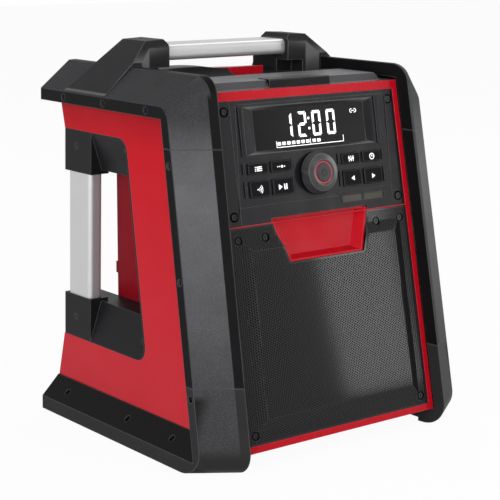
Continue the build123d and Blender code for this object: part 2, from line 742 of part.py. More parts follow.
def dish_plane(stand=0.0):
    """Plane across the dish's rim, which stands out further at its lower end."""
    return Plane(origin=DISH_START + DISH_NORMAL * stand, x_dir=(1, 0, 0), z_dir=DISH_NORMAL)


def dish_shape(low_half, top_half, low, grow=0.0):
    """Trapezoid of the dish in its rim's plane."""
    Polygon(
        (-low_half - grow, low - grow),
        (low_half + grow, low - grow),
        (top_half + grow, DISH_LEN),
        (-top_half - grow, DISH_LEN),
        align=None,
    )


def dish_block(grow, top, depth, mode=Mode.ADD):
    """Block of the dish's outline, grown outwards."""
    with BuildSketch(dish_plane(top)) as rim:
        dish_shape(DISH_LOW_HALF, DISH_TOP_HALF, 0, grow)
    extrude(rim.sketch, amount=-depth, mode=mode)


with BuildPart() as front_hollow:
    front_block(LEDGE_LOW, FRONT_DEPTH, BEZEL_LOW + WALL, BEZEL_TOP - CHEEK_T, FLARE)
    trim(cheek_plane(BEZEL_GAP + CHEEK_T))

with BuildPart() as front_housing:
    front_block(0, FRONT_DEPTH, BEZEL_LOW, BEZEL_TOP + LIP_T, FLARE)
    trim(cheek_plane(BEZEL_GAP))
    add(front_hollow.part, mode=Mode.SUBTRACT)
    front_block(PLATE_T, 2 * PLATE_T, FRAME_LOW, FRAME_TOP, 0, Mode.SUBTRACT)
    front_block(0, FRONT_DEPTH, FRAME_LOW + LEDGE_IN, FRAME_TOP - LEDGE_IN, LEDGE_IN, Mode.SUBTRACT)
    keep_left()
    trim(eave_plane(GAP))
    trim(Plane(origin=(-BODY_HALF, 0, 0), z_dir=(-1, 0, 0)))
    slab(BODY_Z, DECK_Z)
    mirror(about=Plane.YZ)
    block(-BODY_HALF, BODY_HALF, LIP_Y, LIP_Y + FRONT_DEPTH, SEAT_Z, DECK_Z, Mode.SUBTRACT)
    front_block(-PLATE_T, MEMBER_DEPTH, MEMBER_LOW, MEMBER_TOP, 0)
    front_block(0, PLATE_T, PANEL_LOW, PANEL_LOW + RED_LINE, 0)
    dish_block(0, 0, DISH_DEPTH + DISH_WALL)
    for u, v in GRILLE_SCREWS + PANEL_SCREWS:
        disc(front_spot(u, v, -PLATE_T), FACE_BOSS_R, -LEDGE_T)
    with BuildSketch(dish_plane()) as dish_mouth:
        dish_shape(DISH_LOW_HALF, DISH_TOP_HALF, 0, -DISH_RIM)
    with BuildSketch(dish_plane(-DISH_DEPTH)) as dish_floor:
        dish_shape(DISH_FLOOR_LOW_HALF, DISH_FLOOR_TOP_HALF, DISH_FLOOR_LOW - DISH_LOW)
    loft([dish_mouth.sketch.face(), dish_floor.sketch.face()], mode=Mode.SUBTRACT)
    for u, v in GRILLE_SCREWS + PANEL_SCREWS:
        disc(front_spot(u, v, -PLATE_T), FACE_SHANK_R + SLIP, -LEDGE_T, Mode.SUBTRACT)
finish(front_housing.part, "front_housing")


def side_view(plane, inset=0.0):
    """Side view of the red shell, or of its hollow, which runs out at the front and the top."""
    low = BODY_Z + inset
    top = SHELL_TOP + inset
    with BuildSketch(plane) as view:
        Polygon(
            (back_y(low) - inset, low),
            (back_y(top) - inset, top),
            (SHOULDER_TOP_Y - inset, top),
            (SHOULDER_Y - inset, WAIST_TOP + inset),
            (opening_y(WAIST_TOP) - inset, WAIST_TOP + inset),
            (opening_y(WAIST_LOW) - inset, WAIST_LOW - inset),
            (HIP_Y - inset, WAIST_LOW - inset),
            (HIP_LOW_Y - inset, HIP_LOW_Z),
            (HIP_LOW_Y - inset, low),
            align=None,
        )
        corners = [v for v in view.vertices() if abs(v.X - opening_y(v.Y) + inset) < 1]
        fillet(corners, OPENING_R)
    return view.sketch


CORE_FRONT = opening_y(WAIST_LOW) - WALL - 1
NOTCH_LEFT = PACK_X - PACK_HALF - GAP - DOCK_WALL
NOTCH_RIGHT = PACK_X + PACK_HALF + GAP + DOCK_WALL
NOTCH_FRONT = PACK_FRONT - GAP - DOCK_WALL
NOTCH_LOW = PACK_LOW - GAP - DOCK_WALL
BEHIND = REAR_Y + 50
INLET_Y = HIP_Y + (HIP_LOW_Y - HIP_Y) * INLET_SHARE
INLET_Z = WAIST_LOW - (WAIST_LOW - HIP_LOW_Z) * INLET_SHARE
INLET_PLANE = Plane(
    origin=(INLET_X, INLET_Y, INLET_Z),
    x_dir=(-1, 0, 0),
    z_dir=(0, WAIST_LOW - HIP_LOW_Z, HIP_LOW_Y - HIP_Y),
)
with BuildPart() as main_housing:
    extrude(side_view(Plane.YZ.offset(-BODY_HALF)), amount=2 * BODY_HALF)
    block(-CORE_HALF, CORE_HALF, CORE_FRONT, CORE_Y, WAIST_LOW - 1, WAIST_TOP + 1)
    hollow_half = BODY_HALF - WALL
    extrude(side_view(Plane.YZ.offset(-hollow_half), WALL), amount=2 * hollow_half, mode=Mode.SUBTRACT)
    core_half = CORE_HALF - WALL
    core_low = WAIST_LOW - WALL - 1
    core_top = WAIST_TOP + WALL + 1
    block(-core_half, core_half, CORE_FRONT, CORE_Y - WALL, core_low, core_top, Mode.SUBTRACT)
    block(NOTCH_LEFT, NOTCH_RIGHT, SHOULDER_Y - 10, BEHIND, NOTCH_LOW, DECK_Z, Mode.SUBTRACT)
    vent_hole = (VENT_LAP - VENT_HALF, VENT_HALF - VENT_LAP, CORE_Y - 2 * WALL, BEHIND)
    block(*vent_hole, VENT_LOW + VENT_LAP, VENT_TOP - VENT_LAP, Mode.SUBTRACT)
    for side in (-1, 1):
        clip = side * (CORE_HALF - CLIP_W / 2)
        block(clip - CLIP_W / 2, clip + CLIP_W / 2, CORE_Y, CORE_Y + WALL, CLIP_LOW, CLIP_LOW + CLIP_H)
    for x in (BOARD_LEFT + BOARD_FOOT, BOARD_LEFT + BOARD_W - BOARD_FOOT):
        for y in (BOARD_FRONT + BOARD_FOOT, BOARD_FRONT + BOARD_D - BOARD_FOOT):
            disc(Plane(origin=(x, y, BODY_Z + WALL)), BOARD_FOOT - 1, BOARD_FOOT - 1)
    with BuildSketch(INLET_PLANE.offset(-INLET_DEPTH)) as inlet_hole:
        Rectangle(INLET_W + 2 * GAP, INLET_H + 2 * GAP)
    extrude(inlet_hole.sketch, amount=2 * INLET_DEPTH, mode=Mode.SUBTRACT)
finish(main_housing.part, "main_housing")

with BuildPart() as side_panel:
    extrude(side_view(Plane.YZ.offset(-SKIN_HALF)), amount=SKIN_T)
    crease_low = Vector(-SKIN_HALF, opening_y(0), 0)
    crease_top = Vector(-SKIN_HALF, opening_y(SHELL_TOP), SHELL_TOP)
    crease_rear = Vector(-SKIN_HALF + SKIN_LEAN, REAR_Y, 0)
    trim(cut_plane(crease_low, crease_top, crease_rear, Vector(0, 0, 0)))
    trim(cheek_plane(GAP))
    trim(eave_plane(GAP))
finish_pair(side_panel.part, "side_panel")

with BuildPart() as rear_panel:
    block(-VENT_HALF, VENT_HALF, CORE_Y, CORE_Y + WALL, VENT_LOW, VENT_TOP)
    slot_step = (VENT_TOP - VENT_LOW - 2 * VENT_MARGIN) / VENT_COUNT
    slot_half = VENT_HALF - VENT_MARGIN
    for index in range(VENT_COUNT):
        low = VENT_LOW + VENT_MARGIN + slot_step * (index + 0.25)
        block(-slot_half, slot_half, CORE_Y - 1, BEHIND, low, low + slot_step / 2, Mode.SUBTRACT)
finish(rear_panel.part, "rear_panel")

with BuildPart() as power_inlet:
    with BuildSketch(INLET_PLANE) as flange:
        RectangleRounded(INLET_W + 8, INLET_H + 8, 3)
    extrude(flange.sketch, amount=2)
    with BuildSketch(INLET_PLANE) as inlet_body:
        Rectangle(INLET_W, INLET_H)
    extrude(inlet_body.sketch, amount=-INLET_DEPTH)
    with BuildSketch(INLET_PLANE.offset(2)) as inlet_well:
        Rectangle(INLET_W - 4, INLET_H - 4)
    extrude(inlet_well.sketch, amount=-INLET_DEPTH, mode=Mode.SUBTRACT)
    with BuildSketch(INLET_PLANE.offset(-INLET_DEPTH)) as blades:
        with GridLocations(INLET_W / 3, 0, 2, 1):
            Rectangle(1.6, INLET_H / 3)
    extrude(blades.sketch, amount=INLET_DEPTH - 2)
finish(power_inlet.part, "power_inlet")


# ------------------------------------------------------------------ black liners round the side bars
def liner_plane(outer_z, shelf_z, y, z):
    """Place of a screw on a sloping plate of the liner."""
    share = (z - outer_z) / (shelf_z - outer_z)
    up = 1 if shelf_z > outer_z else -1
    normal = Vector(-abs(shelf_z - outer_z), 0, PLATE_IN * up)
    return Plane(origin=(-SKIN_HALF + PLATE_IN * share, y, z), x_dir=(0, 1, 0), z_dir=normal)


LINER_SCREWS = [
    liner_plane(WAIST_TOP, SHELF_HIGH, 27.4, 285.6),
    liner_plane(WAIST_LOW, SHELF_LOW, 3.0, 100.7),
    Plane(origin=(-SKIN_HALF, 111.0, 282.6), x_dir=(0, 1, 0), z_dir=(-1, 0, 0)),
    Plane(origin=(-SKIN_HALF, 118.0, 103.8), x_dir=(0, 1, 0), z_dir=(-1, 0, 0)),
]
SHELF_X = -SKIN_HALF + PLATE_IN
STRIP_Y = opening_y(WAIST_LOW) + STRIP_T
SOCKET_INNER = SIDE_BAR_X + BAR_T / 2 + SOCKET_WALL
SOCKET_HALF = BAR_W / 2 + SOCKET_WALL


def socket_box(low, high):
    """Block round the end of the side bar, which leans with it."""
    with BuildSketch(Plane.YZ.offset(-SKIN_HALF)) as box_view:
        Polygon(
            (side_bar_y(low) - SOCKET_HALF, low),
            (side_bar_y(low) + SOCKET_HALF, low),
            (side_bar_y(high) + SOCKET_HALF, high),
            (side_bar_y(high) - SOCKET_HALF, high),
            align=None,
        )
    extrude(box_view.sketch, amount=SOCKET_INNER + SKIN_HALF)


with BuildPart() as bar_surround:
    with BuildSketch(Plane.YZ.offset(-SKIN_HALF)) as recess:
        Polygon(
            (opening_y(WAIST_LOW), WAIST_LOW),
            (side_bar_y(WAIST_LOW) + SOCKET_HALF, WAIST_LOW),
            (side_bar_y(WAIST_TOP) + SOCKET_HALF, WAIST_TOP),
            (opening_y(WAIST_TOP), WAIST_TOP),
            align=None,
        )
        fillet([v for v in recess.vertices() if v.X < SIDE_BAR_Y - SOCKET_HALF], OPENING_R)
    extrude(recess.sketch, amount=SKIN_HALF - CORE_HALF)
    with BuildSketch(Plane.YZ.offset(-SKIN_HALF)) as grab:
        Polygon(
            (opening_y(WAIST_LOW) + STRIP_T, WAIST_LOW),
            (BEHIND, WAIST_LOW),
            (BEHIND, WAIST_TOP),
            (opening_y(WAIST_TOP) + STRIP_T, WAIST_TOP),
            align=None,
        )
        fillet([v for v in grab.vertices() if v.X < SIDE_BAR_Y - SOCKET_HALF], OPENING_R)
    with BuildSketch(Plane.XZ.offset(-STRIP_Y + 60)) as reach:
        Polygon(
            (-SKIN_HALF - 10, WAIST_LOW),
            (-SKIN_HALF, WAIST_LOW),
            (SHELF_X, SHELF_LOW),
            (0, SHELF_LOW),
            (0, SHELF_HIGH),
            (SHELF_X, SHELF_HIGH),
            (-SKIN_HALF, WAIST_TOP),
            (-SKIN_HALF - 10, WAIST_TOP),
            align=None,
        )
    grab_space = extrude(grab.sketch, amount=SKIN_HALF, mode=Mode.PRIVATE)
    grab_space = grab_space & extrude(reach.sketch, amount=-REAR_Y * 3, mode=Mode.PRIVATE)
    add(grab_space, mode=Mode.SUBTRACT)
    hollow = (SOCKET_INNER + WALL, -CORE_HALF, opening_y(WAIST_TOP) + WALL * 2, CORE_Y - WALL)
    block(*hollow, SHELF_HIGH + WALL, WAIST_TOP - WALL, Mode.SUBTRACT)
    block(*hollow, WAIST_LOW + WALL, SHELF_LOW - WALL, Mode.SUBTRACT)
    socket_box(SOCKET_HIGH_LOW, WAIST_TOP)
    socket_box(WAIST_LOW, SOCKET_LOW_TOP)
    bar_pocket(SIDE_BAR_PLANE.offset(-GAP), SIDE_BAR_LENGTH + 2 * GAP)
    screw_holes(LINER_SCREWS, LINER_HEAD_R, LINER_SHANK_R, LINER_HEAD_H + GAP, LINER_SHANK + 3)
finish_pair(bar_surround.part, "bar_surround")

with BuildPart() as surround_screws:
    screw_bodies(LINER_SCREWS, LINER_HEAD_R, LINER_HEAD_H, LINER_SHANK_R, LINER_SHANK, GAP)
    mirror(about=Plane.YZ)
finish(surround_screws.part, "surround_screws")


# ------------------------------------------------------------------ deck, lid and compartment
RIM_IN = 4.0  # flange of the tray and width of its gasket


def barrel(left, right, radius, mode=Mode.ADD):
    """Length of hinge barrel."""
    with BuildSketch(Plane(origin=(left, HINGE_Y, HINGE_Z), x_dir=(0, 1, 0), z_dir=(1, 0, 0))) as end:
        Circle(radius)
    extrude(end.sketch, amount=right - left, mode=mode)


HINGE_EARS = (
    (-HINGE_HALF - EAR_W, -HINGE_HALF - GAP),
    (-EAR_W, EAR_W),
    (HINGE_HALF + GAP, HINGE_HALF + EAR_W),
)
HINGE_KNUCKLES = ((-HINGE_HALF, -EAR_W - GAP), (EAR_W + GAP, HINGE_HALF))
DECK_FLOOR = SEAT_Z - WALL
with BuildPart() as top_deck:
    with BuildSketch(Plane.YZ.offset(-BODY_HALF)) as deck_side:
        Polygon(
            (back_y(SHELL_TOP), SHELL_TOP),
            (SHOULDER_TOP_Y, SHELL_TOP),
            (SHOULDER_TOP_Y, DECK_Z),
            (LIP_Y, DECK_Z),
            (LIP_Y, SEAT_Z),
            (back_y(SEAT_Z), SEAT_Z),
            align=None,
        )
    extrude(deck_side.sketch, amount=2 * BODY_HALF)
    with BuildSketch(Plane.YZ.offset(-BODY_HALF)) as deck_hollow:
        Polygon(
            (back_y(SHELL_TOP - 1) + WALL, SHELL_TOP - 1),
            (SHOULDER_TOP_Y - WALL, SHELL_TOP - 1),
            (SHOULDER_TOP_Y - WALL, DECK_FLOOR),
            (back_y(DECK_FLOOR) + WALL, DECK_FLOOR),
            align=None,
        )
    room = extrude(deck_hollow.sketch, amount=2 * BODY_HALF, mode=Mode.PRIVATE)
    room = split(room, bisect_by=eave_plane(GAP + WALL), keep=Keep.BOTTOM, mode=Mode.PRIVATE)
    room = split(room, bisect_by=Plane.YZ, keep=Keep.BOTTOM, mode=Mode.PRIVATE)
    add(room, mode=Mode.SUBTRACT)
    trim(eave_plane(GAP))
    trim(cheek_plane(GAP))
    keep_left()
    mirror(about=Plane.YZ)
    lid_half = LID_HALF + GAP
    block(-lid_half, lid_half, LIP_Y - 1, LID_REAR + GAP, SEAT_Z, DECK_Z, Mode.SUBTRACT)
    knuckle_half = HINGE_HALF + EAR_W
    block(-knuckle_half, knuckle_half, LID_REAR, HINGE_Y + EAR_R + GAP, SEAT_Z, DECK_Z, Mode.SUBTRACT)
    for left, right in HINGE_EARS:
        barrel(left, right, EAR_R)
        block(left, right, HINGE_Y - EAR_R, HINGE_Y + EAR_R, DECK_FLOOR, HINGE_Z)
    barrel(-knuckle_half, knuckle_half, HINGE_PIN_R, Mode.SUBTRACT)
    rim_half = TRAY_HALF + RIM_IN
    rim = (-rim_half, rim_half, TRAY_FRONT - RIM_IN, TRAY_REAR + RIM_IN)
    block(*rim, SEAT_Z - RIM_DOWN, DECK_Z, Mode.SUBTRACT)
    tray_hole = (-TRAY_HALF - GAP, TRAY_HALF + GAP, TRAY_FRONT - GAP, TRAY_REAR + GAP)
    block(*tray_hole, SHELL_TOP - 1, DECK_Z, Mode.SUBTRACT)
    block(NOTCH_LEFT, NOTCH_RIGHT, NOTCH_FRONT, BEHIND, SHELL_TOP - 1, DECK_Z, Mode.SUBTRACT)
finish(top_deck.part, "top_deck")

with BuildPart() as compartment_tray:
    block(-TRAY_HALF, TRAY_HALF, TRAY_FRONT, TRAY_REAR, TRAY_FLOOR, SEAT_Z - RIM_DOWN + 1)
    flange_half = rim_half - GAP
    flange_front = TRAY_FRONT - RIM_IN + GAP
    flange_rear = TRAY_REAR + RIM_IN - GAP
    block(-flange_half, flange_half, flange_front, flange_rear, SEAT_Z - RIM_DOWN, SEAT_Z - RIM_DOWN + 1)
    in_half = TRAY_HALF - TRAY_WALL
    tray_in = (-in_half, in_half, TRAY_FRONT + TRAY_WALL, TRAY_REAR - TRAY_WALL)
    block(*tray_in, TRAY_FLOOR + TRAY_WALL, DECK_Z, Mode.SUBTRACT)
finish(compartment_tray.part, "compartment_tray")

with BuildPart() as lid_gasket:
    block(-flange_half, flange_half, flange_front, flange_rear, SEAT_Z - RIM_DOWN + 1, SEAT_Z + SLIP)
    block(-TRAY_HALF, TRAY_HALF, TRAY_FRONT, TRAY_REAR, TRAY_FLOOR, DECK_Z, Mode.SUBTRACT)
finish(lid_gasket.part, "lid_gasket")

with BuildPart() as device_sockets:
    left = -TRAY_HALF + TRAY_WALL
    low = TRAY_FLOOR + TRAY_WALL
    middle = (TRAY_FRONT + TRAY_REAR) / 2
    block(left, left + SOCKETS_T, middle - SOCKETS_W / 2, middle + SOCKETS_W / 2, low, low + SOCKETS_H)
    face_middle = (left + SOCKETS_T, middle, low + SOCKETS_H / 2)
    with BuildSketch(Plane(origin=face_middle, x_dir=(0, 1, 0), z_dir=(1, 0, 0))) as ports:
        with Locations((-SOCKETS_W / 5, 0)):
            Rectangle(USB_W, USB_H)
        with Locations((SOCKETS_W / 3, 0)):
            Circle(JACK_R)
    extrude(ports.sketch, amount=-SOCKETS_T + 1, mode=Mode.SUBTRACT)
finish(device_sockets.part, "device_sockets")

LID_LOW = SEAT_Z + GAP
with BuildPart() as lid:
    block(-LID_HALF, LID_HALF, LIP_Y + GAP, LID_REAR, LID_LOW, DECK_Z)
    with BuildSketch(Plane.XY.offset(DECK_Z)) as lid_foot:
        with Locations((0, (LID_FOOT_Y + LID_REAR) / 2)):
            Rectangle(2 * LID_HALF - 4, LID_REAR - LID_FOOT_Y)
    with BuildSketch(Plane.XY.offset(LID_TOP)) as lid_top:
        with Locations((0, (LID_BROW_Y + LID_REAR) / 2)):
            Rectangle(2 * LID_HALF - 12, LID_REAR - LID_BROW_Y)
    loft([lid_foot.sketch.face(), lid_top.sketch.face()])
    lid_in = (LID_RIM - LID_HALF, LID_HALF - LID_RIM, LATCH_REAR + LID_T, LID_REAR - 2 * LID_T)
    block(*lid_in, LID_LOW - 1, LID_TOP - LID_T, Mode.SUBTRACT)
    latch_bay = (-LATCH_HALF - GAP, LATCH_HALF + GAP, LID_FOOT_Y - 1, LATCH_REAR + LATCH_SWING)
    block(*latch_bay, DECK_Z, LID_TOP + 1, Mode.SUBTRACT)
    for left, right in HINGE_KNUCKLES:
        barrel(left, right, EAR_R)
        block(left, right, LID_REAR - 1, HINGE_Y, HINGE_Z - EAR_R, HINGE_Z + EAR_R)
    barrel(-HINGE_HALF, HINGE_HALF, HINGE_PIN_R + SLIP, Mode.SUBTRACT)
    for side in (-1, 1):
        ear = side * (LATCH_HALF + GAP)
        pin_end = Plane(origin=(ear, LATCH_PIN_Y, LATCH_PIN_Z), x_dir=(0, 1, 0), z_dir=(-side, 0, 0))
        disc(pin_end, LATCH_PIN_R, LATCH_PIN_LEN)
finish(lid.part, "lid")

with BuildPart() as lid_latch:
    with BuildSketch(Plane.YZ.offset(-LATCH_HALF)) as latch_side:
        Polygon(
            (LID_FOOT_Y, DECK_Z + GAP),
            (LID_FOOT_Y + LATCH_LEAN, LID_TOP + LATCH_PROUD - LATCH_EDGE),
            (LID_FOOT_Y + LATCH_LEAN + LATCH_EDGE, LID_TOP + LATCH_PROUD),
            (LATCH_REAR - LATCH_EDGE, LID_TOP + LATCH_PROUD),
            (LATCH_REAR, LID_TOP),
            (LATCH_REAR, LATCH_PIN_Z - 1),
            (LID_FOOT_Y + LATCH_FOOT, DECK_Z + GAP),
            align=None,
        )
    extrude(latch_side.sketch, amount=2 * LATCH_HALF)
    for side in (-1, 1):
        end = (side * LATCH_HALF, LATCH_PIN_Y, LATCH_PIN_Z)
        pin_end = Plane(origin=end, x_dir=(0, 1, 0), z_dir=(side, 0, 0))
        disc(pin_end, LATCH_PIN_R + SLIP, -LATCH_PIN_LEN, Mode.SUBTRACT)
finish(lid_latch.part, "lid_latch")

with BuildPart() as lid_hinge_pin:
    barrel(-knuckle_half, knuckle_half, HINGE_PIN_R)
finish(lid_hinge_pin.part, "lid_hinge_pin")

# ------------------------------------------------------------------ battery and dock
with BuildPart() as battery_dock:
    block(NOTCH_LEFT, NOTCH_RIGHT, NOTCH_FRONT, SHOULDER_Y, NOTCH_LOW, DECK_Z)
    dock_rear = COVER_FRONT + DOCK_HIGH_L
    block(NOTCH_RIGHT - DOCK_WALL, NOTCH_RIGHT, COVER_FRONT, dock_rear, DECK_Z, DOCK_HIGH)
    wall_top = Vector(0, COVER_FRONT, DOCK_HIGH)
    wall_core = Vector(0, COVER_FRONT, PACK_LOW)
    trim(cut_plane(wall_top, wall_top + Vector(0, 1, -COVER_FALL), wall_top + across, wall_core))
    dock_in = (NOTCH_LEFT + DOCK_WALL, NOTCH_RIGHT - DOCK_WALL, PACK_FRONT - GAP, BEHIND)
    block(*dock_in, PACK_LOW - GAP, DOCK_HIGH + 10, Mode.SUBTRACT)
finish(battery_dock.part, "battery_dock")

TAB_LOW = DECK_Z + 1.5
with BuildPart() as battery_pack:
    left, right = PACK_X - PACK_HALF, PACK_X + PACK_HALF
    flank_top = PACK_TOP - PACK_CROWN
    with BuildSketch(Plane.XZ.offset(-PACK_FRONT)):
        with BuildLine():
            ThreePointArc((left, flank_top), (PACK_X, PACK_TOP), (right, flank_top))
            Polyline((right, flank_top), (right, PACK_LOW), (left, PACK_LOW), (left, flank_top))
        make_face()
    extrude(amount=-PACK_LEN)
    core = Vector(PACK_X, PACK_BROW_Y, PACK_LOW)
    brow = Vector(0, PACK_BROW_Y, PACK_TOP)
    brow_low = Vector(0, PACK_FRONT, DECK_Z)
    trim(cut_plane(brow, brow_low, brow + across, core))
    trim(cut_plane(brow, brow + Vector(0, 1, -PACK_FALL), brow + across, core))
    for side in (-1, 1):
        flank = PACK_X + side * PACK_HALF
        near, far = sorted((flank, flank - side * TAB_DEPTH))
        bay = (near - 1, far + 1, TAB_Y - TAB_L / 2 - GAP, TAB_Y + TAB_L / 2 + GAP)
        block(*bay, TAB_LOW - GAP, TAB_LOW + TAB_H + GAP, Mode.SUBTRACT)
finish(battery_pack.part, "battery_pack")

for side, name in ((-1, "left"), (1, "right")):
    with BuildPart() as release_tab:
        tab_out = PACK_X + side * (PACK_HALF - TAB_INSET)
        near, far = sorted((tab_out, tab_out - side * TAB_T))
        block(near, far, TAB_Y - TAB_L / 2, TAB_Y + TAB_L / 2, TAB_LOW, TAB_LOW + TAB_H)
    finish(release_tab.part, f"{name}_release_tab")

with BuildPart() as rear_cover:
    block(COVER_LEFT, COVER_RIGHT, COVER_FRONT, SHOULDER_Y, DECK_Z, COVER_TOP)
    cover_top = Vector(0, COVER_FRONT, COVER_TOP)
    cover_core = Vector(0, COVER_FRONT, DECK_Z)
    trim(cut_plane(cover_top, cover_top + Vector(0, 1, -COVER_FALL), cover_top + across, cover_core))
finish(rear_cover.part, "rear_cover")

# ------------------------------------------------------------------ speakers behind the grille
def grille_rise(sink, mode=Mode.ADD):
    """Raised middle of the grille, or the hollow under it when sunk by the sheet."""
    levels = []
    for stand, inset in ((0, GRILLE_MARGIN + sink), (GRILLE_STAND, GRILLE_MARGIN + GRILLE_SLOPE + sink)):
        low = FRAME_LOW + inset
        high = PANEL_LOW - inset
        with BuildSketch(front_plane(stand - sink)) as level:
            Polygon(
                (-frame_half(low) + inset, low),
                (frame_half(low) - inset, low),
                (frame_half(high) - inset, high),
                (-frame_half(high) + inset, high),
                align=None,
            )
        levels.append(level.sketch.face())
    loft(levels, mode=mode)


def grille_plate(top, inset, mode=Mode.ADD):
    """Plate that fills the grille's opening from `top` to the ledge."""
    front_block(top, PLATE_T + top, FRAME_LOW + inset, PANEL_LOW - inset, inset, mode)


with BuildPart() as speaker_grille:
    grille_plate(0, GAP)
    grille_rise(0)
    grille_rise(GRILLE_T, Mode.SUBTRACT)
    grille_plate(-GRILLE_T, GAP + GRILLE_T, Mode.SUBTRACT)
    for u, v in GRILLE_SCREWS:
        disc(front_spot(u, v), FACE_BOSS_R - 1, GRILLE_STAND + 1, Mode.SUBTRACT)
        disc(front_spot(u, v), FACE_BOSS_R - 1, -PLATE_T)
    dish_block(GAP, 20, 40, Mode.SUBTRACT)
    grille_spots = [front_spot(u, v) for u, v in GRILLE_SCREWS]
    screw_holes(grille_spots, FACE_HEAD_R, FACE_SHANK_R, FACE_SCREW_SEAT, PLATE_T)
finish(speaker_grille.part, "speaker_grille")

with BuildPart() as grille_screws:
    screw_bodies(grille_spots, FACE_HEAD_R, FACE_HEAD_H, FACE_SHANK_R, FACE_SHANK, FACE_SCREW_SINK)
finish(grille_screws.part, "grille_screws")

WOOFERS = [front_spot(side * WOOFER_U, WOOFER_V, LEDGE_LOW) for side in (-1, 1)]
with BuildPart() as baffle:
    front_strip(-BAFFLE_HALF, BAFFLE_HALF, BAFFLE_LOW, BAFFLE_TOP, LEDGE_LOW, BAFFLE_T)
    for plane in WOOFERS:
        disc(plane, WOOFER_R - WOOFER_RIM + GAP, -BAFFLE_T, Mode.SUBTRACT)
finish(baffle.part, "baffle")


def turned(plane, points, mode=Mode.ADD):
    """Body of revolution about a plane's normal, from (radius, stand) points."""
    side = Plane(origin=plane.origin, x_dir=plane.x_dir, z_dir=plane.x_dir.cross(plane.z_dir))
    with BuildSketch(side) as half:
        Polygon(*points, align=None)
    revolve(half.sketch, axis=Axis(plane.origin, plane.z_dir), mode=mode)


BASKET_R = WOOFER_R - WOOFER_RIM
with BuildPart() as woofer_frames:
    for plane in WOOFERS:
        basket = (
            (BASKET_R - 2, WOOFER_FLANGE),
            (WOOFER_R, WOOFER_FLANGE),
            (WOOFER_R, 0),
            (BASKET_R, 0),
            (MAGNET_R, -WOOFER_DEPTH),
            (VOICE_R + 2, -WOOFER_DEPTH),
            (VOICE_R + 2, -WOOFER_DEPTH + 2),
            (MAGNET_R - 2, -WOOFER_DEPTH + 2),
            (BASKET_R - 2, -2),
        )
        turned(plane, basket)
finish(woofer_frames.part, "woofer_frames")

with BuildPart() as woofer_magnets:
    for plane in WOOFERS:
        disc(plane.offset(-WOOFER_DEPTH - MAGNET_H), MAGNET_R, MAGNET_H)
finish(woofer_magnets.part, "woofer_magnets")

with BuildPart() as woofer_cones:
    for plane in WOOFERS:
        cone = (
            (0, -CONE_DEPTH),
            (VOICE_R, -CONE_DEPTH),
            (BASKET_R - 8, 0),
            (BASKET_R - 2 - SLIP, 0),
            (BASKET_R - 2 - SLIP, -1),
            (BASKET_R - 7, -1),
            (VOICE_R, -CONE_DEPTH - 1),
            (VOICE_R, -WOOFER_DEPTH),
            (0, -WOOFER_DEPTH),
        )
        turned(plane, cone)
finish(woofer_cones.part, "woofer_cones")


# ------------------------------------------------------------------ control panel
KEY_SPOTS = [(u, ROW_HIGH_V, KEY_HIGH_H) for u in KEY_X] + [(u, ROW_LOW_V, KEY_LOW_H) for u in KEY_X]
KEY_NAMES = ("mode", "preset", "equaliser", "clock", "pairing", "play", "previous", "next")
LENS_SPOTS = [(u, LENS_V) for u in LENS_U]
PANEL_TOP = FRAME_TOP - GAP
DISPLAY_V = (DISPLAY_LOW + DISPLAY_TOP) / 2
WINDOW_V = (WINDOW_LOW + WINDOW_TOP) / 2
KNOB_SPOT = (0, KNOB_V)
with BuildPart() as control_panel:
    front_block(0, PLATE_T, PANEL_LOW + RED_LINE, PANEL_TOP, GAP)
    notch_half = DISH_TOP_HALF + GAP
    front_strip(-notch_half, notch_half, PANEL_LOW - 1, PANEL_STEP, 1, PLATE_T + 2, Mode.SUBTRACT)
    for side in (-1, 1):
        outer = side * (FRAME_OUT + 20)
        near, far = sorted((side * MARGIN_U, outer))
        front_strip(near, far, PANEL_LOW, PANEL_TOP + 1, 1, 1 + MARGIN_DOWN, Mode.SUBTRACT)
    with BuildSketch(front_spot(0, DISPLAY_V)) as display_mouth:
        Rectangle(2 * DISPLAY_HALF, DISPLAY_TOP - DISPLAY_LOW)
    with BuildSketch(front_spot(0, WINDOW_V, -DISPLAY_DEPTH)) as display_floor:
        Rectangle(2 * WINDOW_HALF, WINDOW_TOP - WINDOW_LOW)
    loft([display_mouth.sketch.face(), display_floor.sketch.face()], mode=Mode.SUBTRACT)
    window = (2 * WINDOW_HALF, WINDOW_TOP - WINDOW_LOW)
    front_box([(0, WINDOW_V)], *window, 0, PLATE_T, mode=Mode.SUBTRACT)
    for u, v, height in KEY_SPOTS:
        front_box([(u, v)], KEY_W + 2 * GAP, height + 2 * GAP, 1, PLATE_T + 1, 1.5, Mode.SUBTRACT)
    front_box(LENS_SPOTS, LENS_W, LENS_H, 1, PLATE_T + 1, 0, Mode.SUBTRACT)
    disc(front_spot(*KNOB_SPOT, 1), HUB_R + GAP, -PLATE_T - 1, Mode.SUBTRACT)
    panel_spots = [front_spot(u, v, -MARGIN_DOWN) for u, v in PANEL_SCREWS]
    screw_holes(panel_spots, FACE_HEAD_R, FACE_SHANK_R, PANEL_HEAD_H + GAP, PLATE_T)
finish(control_panel.part, "control_panel")

with BuildPart() as panel_screws:
    screw_bodies(panel_spots, FACE_HEAD_R, PANEL_HEAD_H, FACE_SHANK_R, FACE_SHANK, GAP)
finish(panel_screws.part, "panel_screws")

with BuildPart() as lcd_lens:
    lens = (2 * WINDOW_HALF - 2 * SLIP, WINDOW_TOP - WINDOW_LOW - 2 * SLIP)
    front_box([(0, WINDOW_V)], *lens, -DISPLAY_DEPTH, PLATE_T - DISPLAY_DEPTH)
finish(lcd_lens.part, "lcd_lens")

with BuildPart() as indicator_lenses:
    front_box(LENS_SPOTS, LENS_W - 2 * SLIP, LENS_H - 2 * SLIP, -GAP, PLATE_T - GAP)
finish(indicator_lenses.part, "indicator_lenses")

